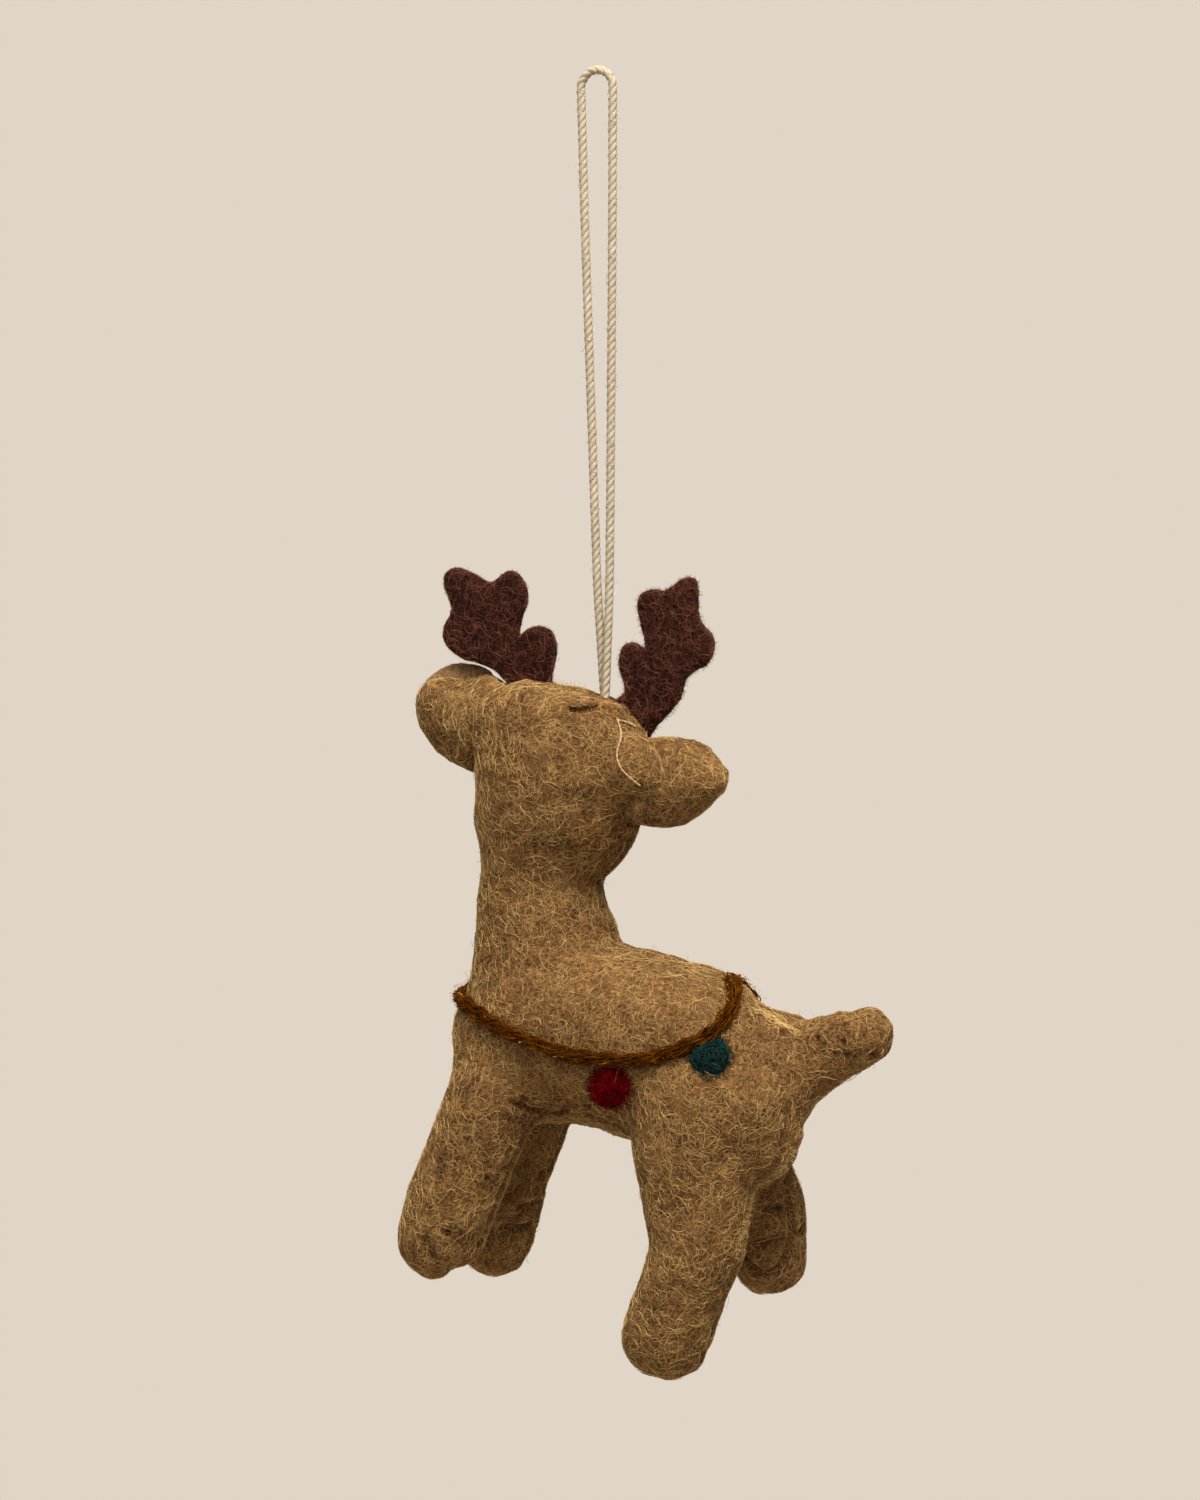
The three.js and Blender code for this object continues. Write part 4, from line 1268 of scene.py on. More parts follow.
@dataclass
class FeltEar(Flap):
    """One plump felt ear with its lining."""

    puff: float
    rim_shows: bool
    trim: float
    low_trim: float
    trim_side: int
    taper: float
    hairs: int
    seed: int
    pulls: tuple[Pull, ...] = ()
    lining_pulls: tuple[Pull, ...] = ()
    widen: float = 0.45
    flat: float = 0.42
    root_puff: float = 2.6 * MM
    rim_thin: float = 0.5 * MM
    dimple: Span = (2.6 * MM, 4.6 * MM)
    dimple_wide: float = 1.7 * MM
    dimple_deep: float = 0.9 * MM
    lining_away: float = 1.7 * MM
    lining_thin: float = 0.6
    lining_short: float = 1.6 * MM
    voxel: float = 0.46 * MM
    bend: float = 4.0 * MM

    def build(self, nodes: dict[str, Piece], palette: Palette) -> None:
        """Make the ear, its lining and its hairs."""
        ear = self._pad(nodes[f"ear_{self.side}"], f"felt_ear_{self.side}", 0.42 * MM)
        self._plump(ear)
        Bench.keep(ear, "pit", self._dimple(ear))
        inside = "ear" if self.rim_shows else "ear_lining"
        lining = self._pad(nodes[f"{inside}_{self.side}"], f"felt_lining_{self.side}", 0.3 * MM)
        self._peek(lining)
        Bench.plain(lining)
        coat = Coat(self.seed, (2.6, 5.4))
        hair = coat.grow(ear, self.hairs).make(f"ear_hairs_{self.side}", "tint", True)
        inner = Coat(self.seed + 1, (2.0, 4.0), tint=(0.0, 0.4))
        inner_hair = inner.grow(lining, self.hairs // 5).make(f"lining_hairs_{self.side}", "tint", True)
        for made, finish, slot in (
                (ear, palette.camel, Slot.CAMEL), (lining, palette.lining, Slot.LINING),
                (hair, palette.camel_hair, Slot.CAMEL), (inner_hair, palette.camel_hair, Slot.LINING)):
            self.sew(made, finish, slot, self.bend)
        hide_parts(f"ear_{self.side}")
        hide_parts(f"ear_lining_{self.side}")

    def _pad(self, node: Piece, name: str, swell: float) -> Piece:
        """Round a flat CAD flap into a soft pad."""
        pad = Bench.copy(node, name)
        Bench.soften(pad, self.voxel, 12, swell)
        Bench.apply(pad, "SMOOTH", factor=0.5, iterations=4)
        Bench.smooth(pad)
        return pad

    def _across(self, points: Rows) -> tuple[Rows, Rows]:
        """Give each point's distances out from the seam and along it."""
        away = points - np.array(self.seat.at())
        return away @ np.array(self.seat.out), away @ np.array(self.seat.along)

    def _plump(self, ear: Piece) -> None:
        """Fill the back of the ear so that it stands out round."""
        points, facing = Bench.points(ear), Bench.normals(ear)
        out, along = self._across(points)
        reach, half = out.max(), np.abs(along).max()
        over = np.clip((out - 0.3 * reach) / (0.72 * reach), 0, None)
        dome = np.clip(1 - over**2 - (along / half) ** 2, 0, 1) ** self.flat
        base = np.clip(1 - out / (6.0 * MM), 0, 1) ** 1.5
        root = np.clip(1 - np.abs(out - 1.0 * MM) / (7.5 * MM), 0, 1)
        root *= np.clip(1 - (along / (8.0 * MM)) ** 2, 0, 1)
        push = self.puff * dome + self.root_puff * root - self.rim_thin * (1 - dome)
        push *= np.clip(-facing[:, 1] * 1.4, 0, 1)
        narrow = self.taper * np.clip((out / reach - 0.42) / 0.45, 0, 1) ** 1.4
        points += np.outer(along * (base * self.widen - narrow), np.array(self.seat.along))
        for way, trim in ((self.trim_side, self.trim), (-self.trim_side, self.low_trim)):
            edge = grade(way * along, 0, 7.0 * MM) * grade(out, 0, 5.0 * MM)
            points -= np.outer(way * edge * trim, np.array(self.seat.along))
        wave = ripple(points, (1.0, 3.4)) * 0.22 * MM
        points[:, 1] -= push
        Bench.move(ear, pulled(points + facing * wave[:, None], self.pulls))
        Bench.apply(ear, "SMOOTH", factor=0.5, iterations=8)

    def _dimple(self, ear: Piece) -> Rows:
        """Draw the ear in where it is caught down near its root, and give painted shade in the dimple."""
        points, facing = Bench.points(ear), Bench.normals(ear)
        out, along = self._across(points)
        near = np.hypot(out - self.dimple[0], along + self.dimple[1]) / self.dimple_wide
        inward = np.exp(-near**2) * np.clip(-facing[:, 1] * 2, 0, 1)
        Bench.move(ear, points - facing * (inward * self.dimple_deep)[:, None])
        # painted shade in the dimple, kept as the pit number
        return 0.55 * inward**2

    def _peek(self, lining: Piece) -> None:
        """Set a full lining thin against the ear's inside, so that its edge shows over the upper rim."""
        if not self.rim_shows:
            return
        points = Bench.points(lining)
        out, along = self._across(points)
        points[:, 1] = self.lining_away + (points[:, 1] - 1.0 * MM) * self.lining_thin
        low = grade(-along, 0, 5.0 * MM) * grade(out, 0, 4.0 * MM)
        points += np.outer(low * self.lining_short, np.array(self.seat.along))
        Bench.move(lining, pulled(points, self.lining_pulls))


@dataclass
class FeltAntler(Flap):
    """One antler of thick dark felt with hairy cut edges."""

    bristles: int
    bristle_length: Span
    seed: int
    hairs: int = 2100
    voxel: float = 0.4 * MM
    bend: float = 3.5 * MM

    def build(self, nodes: dict[str, Piece], palette: Palette) -> None:
        """Make the antler, its lying hairs and its bristly edge."""
        plate = Bench.copy(nodes[f"antler_{self.side}"], f"felt_antler_{self.side}")
        Bench.soften(plate, self.voxel, 4, 0.08 * MM)
        points, facing = Bench.points(plate), Bench.normals(plate)
        wave = ripple(points, (1.0, 2.6), (0.5, 1.2)) * 0.2 * MM
        Bench.move(plate, points + facing * wave[:, None])
        Bench.plain(plate)
        Bench.smooth(plate)
        lying = Coat(self.seed, (1.4, 4.0), (0.018, 0.036), curl=0.8, lift=0.2, stray=0.05, tint=(0.0, 0.8))
        hair = lying.grow(plate, self.hairs).make(f"antler_hairs_{self.side}", "tint", True)
        edge = self._bristle(plate).make(f"antler_edge_{self.side}", "tint", True)
        for made, finish in ((plate, palette.dark), (hair, palette.dark_hair), (edge, palette.dark_hair)):
            self.sew(made, finish, Slot.DARK, self.bend)
        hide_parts(f"antler_{self.side}")

    def _bristle(self, plate: Piece) -> Tubes:
        """Stand short hairs on the cut edge."""
        dice = np.random.default_rng(self.seed + 7)
        roots, facing = Coat.roots(plate, self.bristles * 3, dice)
        on_edge = np.abs(facing[:, 1]) < 0.75
        return bristles(roots[on_edge], facing[on_edge], self.bristle_length, (0.018, 0.032), 0.75, dice)


def bristles(roots: Rows, facing: Rows, length: Span, thick: Span,
             spread: float, dice: np.random.Generator, tint: Span = (0.0, 0.8)) -> Tubes:
    """Stand short bent hairs on a surface.

    Args:
        roots: Root points.
        facing: Surface normals at the roots.
        length: Shortest and longest hair, in millimetres.
        thick: Thinnest and thickest hair, as radius in millimetres.
        spread: How far the hairs lean.
        dice: Source of seeded numbers.
        tint: Range of the number kept for each hair.

    Returns:
        The hairs as tubes.
    """
    many, steps = len(roots), 5
    lean = unit(facing + dice.normal(0, spread, (many, 3)))
    lean = np.where(np.sum(lean * facing, axis=1, keepdims=True) < 0.05, facing, lean)
    side = unit(np.cross(lean, dice.normal(size=(many, 3))))
    share = np.linspace(0, 1, steps)
    size = dice.uniform(length[0] * MM, length[1] * MM, many)[:, None, None]
    bow = dice.uniform(0.0, 0.45, many)[:, None, None]
    bent = lean[:, None] * share[:, None] + side[:, None] * bow * (share**2)[:, None]
    path = roots[:, None] + size * bent
    path -= facing[:, None] * 0.05 * MM
    radius = dice.uniform(thick[0] * MM, thick[1] * MM, many)[:, None] * (1 - 0.6 * share)
    value = np.repeat(dice.uniform(*tint, many)[:, None], steps, axis=1)
    tubes = Tubes()
    tubes.add(path, np.repeat(np.cross(lean, side)[:, None], steps, axis=1), radius, value)
    return tubes


# ---------------------------------------------------------------- garland


@dataclass
class Garland:
    """The twisted yarn round the body and the frayed knot on the back."""

    half: tuple[Row, ...] = (
        (22.02, -2.46, -140.14), (23.35, -4.91, -141.46), (24.64, -7.8, -142.95),
        (24.12, -10.71, -145.32), (22.96, -13.61, -147.61), (19.86, -15.14, -149.29),
        (16.69, -16.31, -150.45), (13.16, -16.91, -151.23), (9.68, -17.25, -151.57), (4.99, -17.07, -151.4),
        (0.52, -16.88, -150.85), (-4.07, -16.6, -149.7), (-9.14, -15.91, -148.07), (-14.27, -14.11, -145.92),
        (-19.83, -11.12, -143.48), (-24.16, -6.29, -142.23), (-25.24, 0.0, -141.87))
    rise: float = 0.6 * MM
    plies: int = 2
    strands: int = 15
    core: int = 3
    ply_offset: float = 0.38 * MM
    ply_radius: float = 0.68 * MM
    strand_radius: float = 0.115 * MM
    pitch: float = 8.2 * MM
    frayed: int = 90
    far_sunk: float = 0.9
    far_drift: tuple[float, ...] = (1.6, 4.2, 5.8, 5.4, 4.2, 2.6, 1.0)

    def build(self, skin: Piece, palette: Palette) -> None:
        """Lay the yarn on the felt and tie it."""
        tree = Bench.tree(skin)
        left = np.array(self.half)
        right = left * (1, -1, 1)
        right[: len(self.far_drift), 0] -= self.far_drift
        ring = np.vstack([left, right[-2::-1]]) * MM
        path = self._on_felt(tree, even(ring, 1.5 * MM))
        yarn = self._spin(path, "yarn_garland", 51)
        Bench.dress(yarn, palette.gold, Slot.YARN)
        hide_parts("garland_yarn")
        lots = (
            ("yarn_hairs", 4000, palette.gold_hair,
             Coat(52, (0.9, 2.6), (0.018, 0.034), curl=0.8, lift=0.26, stray=0.3, steps=6)),
            ("yarn_fuzz", 2800, palette.gold_hair,
             Coat(54, (0.8, 2.2), (0.016, 0.03), curl=1.0, lift=0.3, stray=0.75, steps=5, tint=(0.2, 1.0))),
            ("yarn_glints", 150, palette.gold_glint,
             Coat(53, (0.3, 0.8), (0.03, 0.05), curl=0.2, lift=0.5, stray=0.5, steps=4)))
        for name, count, finish, coat in lots:
            coat.grow(yarn, count).hairs(name, finish, Slot.YARN)
        self._tie(tree, path, palette)

    def _on_felt(self, tree: BVHTree, path: Rows) -> Rows:
        """Set a path on the felt and smooth it."""
        for _ in range(3):
            spots, facing = split([tree.find_nearest(p) for p in path])
            x, y, _ = path.T / MM
            sunk = grade(y, 0.5, 1.5) * grade(-y, -10, 4) * (x > 12)
            rise = self.rise - sunk * self.far_sunk * MM
            path = spots + facing * rise[:, None]
            path[1:-1] = 0.5 * path[1:-1] + 0.25 * (path[:-2] + path[2:])
        return path

    def _spin(self, path: Rows, name: str, seed: int) -> Piece:
        """Spin plies of fine strands round a path."""
        dice = np.random.default_rng(seed)
        path = even(path, 0.4 * MM)
        along, side, other = frames(path, (0.1, 0.2, 1.0))
        reach = reach_along(path)
        yarn = Tubes(sides=4)
        for ply in range(self.plies):
            turn = 2 * math.pi * (reach / self.pitch + ply / self.plies)
            out = around(side, other, turn)
            flank = np.cross(along, out)
            for strand in range(self.strands):
                spin = 2 * math.pi * (strand / self.strands) - 1.6 * turn + dice.normal(0, 0.2)
                loose = 1 + 0.35 * np.sin(reach / dice.uniform(1.2 * MM, 3.6 * MM) + dice.uniform(0, 6))
                away = self.ply_radius * loose * (0.35 if strand < self.core else 1.0)
                centre = path + out * self.ply_offset + around(out, flank, spin) * away[:, None]
                height = np.linalg.norm(centre - path, axis=1)
                # crest number: height over the path times a random tone for each strand, which the strand
                # finish turns into painted shade in the grooves
                crest = np.clip((height - 0.2 * MM) / (0.75 * MM), 0, 1) * dice.uniform(0.55, 1.0)
                yarn.run(centre, out, self.strand_radius * dice.uniform(0.8, 1.15), crest)
        return yarn.make(name, "crest")

    def _tie(self, tree: BVHTree, path: Rows, palette: Palette) -> None:
        """Make the knot on the back from one more turn of yarn with two frayed ends."""
        spot, up, _, _ = tree.find_nearest(0.5 * (path[0] + path[-1]))
        ahead = np.array(unit(path[-1] - path[0]))
        up = np.array(up)
        aside = np.cross(ahead, up)
        base = np.array(spot) - ahead * 0.6 * MM
        bow = [(-1.8, 0.0, 0.1), (-0.9, -0.4, 0.3), (0.3, -0.6, 0.5), (0.8, 0.1, 0.6), (0.2, 0.6, 0.5),
               (-0.6, 0.5, 0.1), (-0.6, -0.3, -0.1), (0.3, -0.5, 0.0), (0.9, 0.0, -0.1), (1.7, 0.1, -0.4),
               (2.6, 0.1, -0.75), (3.5, 0.1, -1.1)]
        turns = np.array([base + (ahead * a + aside * b + up * c) * MM for a, b, c in bow])
        knot = self._spin(turns, "yarn_knot", 61)
        Bench.dress(knot, palette.gold, Slot.YARN)
        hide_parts("garland_knot")
        dice = np.random.default_rng(62)
        roots = np.repeat([base + (ahead * 0.2 + aside * 0.3 + up * 0.5) * MM,
                           base + (-ahead * 0.5 - aside * 0.3 + up * 0.4) * MM], self.frayed, axis=0)
        roots = roots + dice.normal(0, 0.32 * MM, roots.shape)
        facing = np.repeat([unit(up + 0.5 * ahead + 0.3 * aside),
                            unit(up - 0.6 * ahead - 0.5 * aside)], self.frayed, axis=0)
        ends = bristles(roots, facing, (0.5, 1.3), (0.024, 0.04), 0.5, dice, (0.1, 0.9))
        ends.hairs("yarn_frayed_ends", palette.gold_hair, Slot.YARN)


@dataclass
class FeltDot:
    """A low dot of coloured wool needled into the flank."""

    name: str
    node: str
    slot: Slot
    picture: Span
    mirrored: bool
    seed: int
    radius: float = 20.0
    height: float = 1.1 * MM
    rings: int = 12
    spokes: int = 44
    lump: float = 0.12 * MM
    edge_dip: float = 0.12 * MM
    buried: float = 0.9 * MM
    wool: int = 600
    rim_hairs: int = 520
    strays: int = 34

    def build(self, skin: Piece, felt: Material, hair: Material,
              camel: Material) -> Vector:
        """Make the dot and its hairs.

        Args:
            skin: The felt that carries it.
            felt: Its felt finish.
            hair: Its hair finish.
            camel: The finish of body hairs that stray over it.

        Returns:
            The dot's middle.
        """
        tree = Bench.tree(skin)
        middle, up = self._spot(tree, 0.0, 0.0)
        points: list[Vector] = [middle + up * self.height]
        for ring in range(1, self.rings + 2):
            share = min(ring / self.rings, 1.0)
            for spoke in range(self.spokes):
                angle = 2 * math.pi * spoke / self.spokes
                way = Vector((math.cos(angle), math.sin(angle), self.seed))
                spot, facing = self._spot(tree, angle, share * (1 + 0.04 * noise.noise(way * 1.7)))
                lump = self.lump * noise.noise(spot / (0.9 * MM))
                lift = self.height * (1 - share**3.2) + lump * (1 - share)
                lift = lift if ring <= self.rings else -self.buried
                points.append(spot + facing * (lift - (self.edge_dip if share == 1.0 else 0)))
        points.append(middle - up * 1.0 * MM)
        faces = turned_faces(self.spokes, self.rings)
        faces = faces if self.mirrored else [face[::-1] for face in faces]
        made = Bench.mesh(self.name, np.array(points), faces)
        Bench.plain(made)
        Bench.smooth(made)
        Bench.dress(made, felt, self.slot)
        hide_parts(self.node)
        lying = Coat(self.seed, (1.4, 3.4), (0.028, 0.05), curl=1.0, lift=0.22, stray=0.03, steps=9)
        top = np.array(middle)
        wool = lying.grow(made, self.wool, lambda p: (p - top) @ np.array(up) > -0.25 * MM)
        wool.hairs(f"{self.name}_hairs", hair, self.slot)
        dice = np.random.default_rng(self.seed + 5)
        turns, fars = dice.uniform(0, 2 * math.pi, self.rim_hairs), dice.beta(1.0, 2.2, self.rim_hairs)
        roots, facing = split([self._spot(tree, angle, 0.93 + 0.22 * far) for angle, far in zip(turns, fars)])
        edge = Coat(self.seed, (0.5, 1.5), (0.02, 0.036), curl=1.0, lift=0.3, stray=0.05, steps=6,
                    tint=(0.0, 0.7))
        edge.lay(skin, roots, facing, dice).hairs(f"{self.name}_rim", hair, self.slot)
        over = Coat(self.seed + 6, (1.5, 3.4), (0.016, 0.026), curl=0.5, lift=0.3, stray=0.1, steps=8)
        border = 0.78 * self.radius * SIGHT.pixel
        strays = over.grow(made, self.strays, lambda p: np.linalg.norm(p - top, axis=1) > border)
        strays.hairs(f"{self.name}_strays", camel, Slot.CAMEL)
        return middle

    def _spot(self, tree: BVHTree, angle: float, far: float) -> tuple[Vector, Vector]:
        """Give the felt's point and normal at a place in the dot, by angle and share of its radius."""
        px = self.picture[0] + self.radius * far * math.cos(angle)
        py = self.picture[1] + self.radius * far * math.sin(angle)
        spot, facing, _, _ = SIGHT.hit(tree, px, py)
        if self.mirrored:
            spot, facing, _, _ = tree.find_nearest(Vector((spot.x, -spot.y, spot.z)))
        return spot, facing


# ---------------------------------------------------------------- face, thread and coat


# where no hair may lie, so that the cord stays clear of hairs as it sways: a point and its clear distance
CORD_FOOT = (0.0, 0.0, -96.4 * MM, 2.4 * MM)
CORD_LEAN = (0.0, 2.3 * MM, -96.4 * MM, 2.7 * MM)


@dataclass
class Face:
    """The plain face on the head's far side: two beads, a felt nose and a stitched mouth."""

    bead_radius: float = 1.4 * MM
    bead_flat: float = 0.78
    bead_spokes: int = 40
    bead_rows: int = 15
    bead_step: float = 7.5
    bead_low: float = -0.45 * MM
    bead_inset: float = 0.2 * MM
    bead_skirt: float = 0.5 * MM
    bead_rise: float = 0.25
    bead_round: float = 0.08 * MM
    nose_hairs: int = 220

    def build(self, nodes: dict[str, Piece], skin: Piece, palette: Palette) -> None:
        """Make the eyes, the nose and the mouth."""
        tree = Bench.tree(skin)
        for side in ("left", "right"):
            self._bead(side, tree, palette)
        nose = Bench.copy(nodes["nose"], "felt_nose")
        Bench.soften(nose, 0.3 * MM, 6, 0.2 * MM)
        Bench.plain(nose)
        Bench.smooth(nose)
        Bench.dress(nose, palette.dark, Slot.DARK)
        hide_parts("nose")
        coat = Coat(71, (1.2, 2.4), (0.03, 0.045), curl=1.0, lift=0.15, stray=0.03, steps=8)
        coat.grow(nose, self.nose_hairs).hairs("nose_hairs", palette.dark_hair, Slot.DARK)
        self._mouth(tree, palette)

    def _bead(self, side: str, tree: BVHTree, palette: Palette) -> None:
        """Turn one domed bead with a thin rim, set in the felt."""
        low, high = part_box(f"eye_{side}")
        spot, up, _, _ = tree.find_nearest((low + high) / 2)
        tall, foot = self.bead_radius * self.bead_flat, self.bead_low - self.bead_skirt
        slopes = np.radians(90 - self.bead_step * np.arange(1, self.bead_rows + 1))
        outline = [(self.bead_radius * math.cos(a), tall * math.sin(a))
                   for a in (*slopes, math.asin(self.bead_low / tall))]
        neck = outline[-1][0] - self.bead_inset
        outline += [(neck, self.bead_low), (neck, foot)]
        turns = np.arange(self.bead_spokes) * 2 * math.pi / self.bead_spokes
        rings = [np.stack([out * np.cos(turns), out * np.sin(turns), 0 * turns + z], axis=1)
                 for out, z in outline]
        points = np.vstack([[(0, 0, tall)], *rings, [(0, 0, foot)]])
        bead = Bench.mesh(f"eye_bead_{side}", points, turned_faces(self.bead_spokes, len(outline) - 1))
        turn = Vector((0, 0, 1)).rotation_difference(up).to_matrix().to_4x4()
        bead.data.transform(Matrix.Translation(spot + up * self.bead_rise * MM) @ turn)
        Bench.apply(bead, "BEVEL", width=self.bead_round, segments=2, limit_method="ANGLE")
        Bench.pick(bead)
        bpy.ops.object.shade_smooth_by_angle(angle=math.radians(50))
        Bench.dress(bead, palette.bead, Slot.BEAD)
        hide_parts(f"eye_{side}")

    @staticmethod
    def _mouth(tree: BVHTree, palette: Palette) -> None:
        """Stitch a short plain mouth under the nose."""
        low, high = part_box("nose")
        top = Vector(((low.x + high.x) / 2 - 0.2 * MM, high.y, low.z))
        runs = ([(0, 0.2), (0.2, -1.6), (0.4, -3.2)], [(0.4, -3.2), (-1.0, -4.1), (-2.6, -4.2)],
                [(0.4, -3.2), (2.0, -4.4), (3.6, -4.8)])
        thread = Tubes(sides=6)
        for run in runs:
            found = [tree.find_nearest(top + Vector((x * MM, 0, z * MM))) for x, z in run]
            path = even(np.array([f[0] + f[1] * 0.06 * MM for f in found]), 0.3 * MM)
            thread.run(path, np.array(found[1][1]), 0.2 * MM, 0.2)
        Bench.dress(thread.make("mouth_stitches", "tint"), palette.dark_hair, Slot.DARK)


@dataclass
class Thread:
    """The sewing thread over the seams, its loose end at the crown, and pale wisps of wool."""

    radius: float = 0.11 * MM
    reach: float = 1.25 * MM
    stitch_lift: tuple[float, ...] = (-0.25, 0.04, 0.10, 0.10, 0.04, -0.25)
    stitch_points: int = 9
    end_lift: float = 0.28
    end_twist: float = 0.9
    end_offset: float = 0.075
    end_radius: float = 0.085 * MM
    wisp_lift: float = 0.2
    wisp_drift: float = 2.3
    wisp_radius: float = 0.038 * MM
    loose: tuple[Pixels, ...] = (
        ((616, 719), (618, 724), (620.5, 732), (621, 740), (618.5, 748), (617.5, 755), (618.5, 762),
         (622.5, 770), (632, 779), (640, 785)),
        ((616, 721), (621, 722), (628, 724), (635, 728)))
    wisps: tuple[tuple[int, Pixels], ...] = (
        (11, ((756, 1011), (763, 1015), (771, 1020), (779, 1024), (788, 1028), (797, 1034))),
        (3, ((748, 992), (757, 999), (768, 1008), (780, 1017))),
        (1, ((775, 1211), (777, 1218), (780, 1226))), (1, ((783, 1214), (788, 1220), (792, 1228))),
        (1, ((756, 1243), (765, 1241), (776, 1238), (787, 1235))))

    def build(self, skin: Piece, stitches: Sequence[Rows], palette: Palette) -> None:
        """Sew the seams and leave the loose end and the wisps."""
        tree = Bench.tree(skin)
        Bench.dress(self._sew(tree, stitches), palette.camel_hair, Slot.CAMEL)
        Bench.dress(self._leave(tree), palette.thread, Slot.COTTON)
        Bench.dress(self._wisp(tree), palette.camel_hair, Slot.CAMEL)

    def _sew(self, tree: BVHTree, stitches: Sequence[Rows]) -> Piece:
        """Whip the seams."""
        sewn = Tubes(sides=5)
        for spot, way in stitches:
            here, up, _, _ = tree.find_nearest(spot)
            across = np.cross(np.array(up), unit(way)) + 0.45 * unit(way)
            marks = [np.array(here) + across * self.reach * t for t in (-1, -0.6, -0.2, 0.2, 0.6, 1)]
            found = [tree.find_nearest(m) for m in marks]
            path = even(np.array([f[0] + f[1] * h * MM for f, h in zip(found, self.stitch_lift)]), 0.28 * MM)
            path = path[np.linspace(0, len(path) - 1, self.stitch_points).round().astype(int)]
            sewn.run(path, np.array(up), self.radius, 0.1)
        return sewn.make("seam_stitches", "tint")

    def _leave(self, tree: BVHTree) -> Piece:
        """Lay the loose end of twisted thread on the crown."""
        end = Tubes(sides=6)
        for run in self.loose:
            found = SIGHT.hits(tree, run)
            path = even(np.array([f[0] + f[1] * self.end_lift * MM for f in found]), 0.25 * MM)
            _, side, other = frames(path, tuple(found[0][1]))
            for ply in (0, math.pi):
                out = around(side, other, np.arange(len(path)) * self.end_twist + ply)
                end.run(path + out * self.end_offset * MM, out, self.end_radius, 0.5)
        return end.make("loose_thread_end", "tint")

    def _wisp(self, tree: BVHTree) -> Piece:
        """Lay pale wisps where the picture shows them."""
        wisp = Tubes(sides=4)
        dice = np.random.default_rng(131)
        for many, run in self.wisps:
            for _ in range(many):
                drift = dice.normal(0, self.wisp_drift, (len(run), 2)) * (many > 1)
                first = dice.integers(0, 2) if many > 1 else 0
                found = SIGHT.hits(tree, np.array(run)[first:] + drift[first:])
                if len(found) > 2:
                    path = even(np.array([f[0] + f[1] * self.wisp_lift * MM for f in found]), 0.3 * MM)
                    wisp.run(path, np.array(found[0][1]), self.wisp_radius, dice.uniform(0.7, 1.0))
        return wisp.make("pale_wisps", "tint")


@dataclass
class CrownFold:
    """The small roll of felt that the crown seam pushes up beside the cord."""

    run: Pixels = ((569, 705.5), (576, 704.5), (584, 703.5), (592, 702), (599, 701))
    thick: float = 0.78 * MM
    sunk: float = 0.12 * MM
    hairs: int = 150

    def build(self, skin: Piece, palette: Palette) -> None:
        """Lay the roll on the crown and let hairs grow on it."""
        tree = Bench.tree(skin)
        found = SIGHT.hits(tree, self.run)
        path = even(np.array([f[0] - f[1] * self.sunk for f in found]), 0.25 * MM)
        share = np.linspace(-1, 1, len(path))
        radius = self.thick * np.clip(1 - share**2, 0.01, 1) ** 0.4 * (1 + ripple(path, (0.2, 1.3)))
        roll = Tubes(sides=16)
        roll.run(path, np.array(found[2][1]), radius, 0.0)
        made = Bench.dress(roll.make("crown_fold", "pit"), palette.camel, Slot.CAMEL)
        hair = Coat(160, (1.0, 2.8), stray=0.0).grow(made, self.hairs, None, np.array([CORD_FOOT]))
        hair.hairs("crown_fold_hairs", palette.camel_hair, Slot.CAMEL)


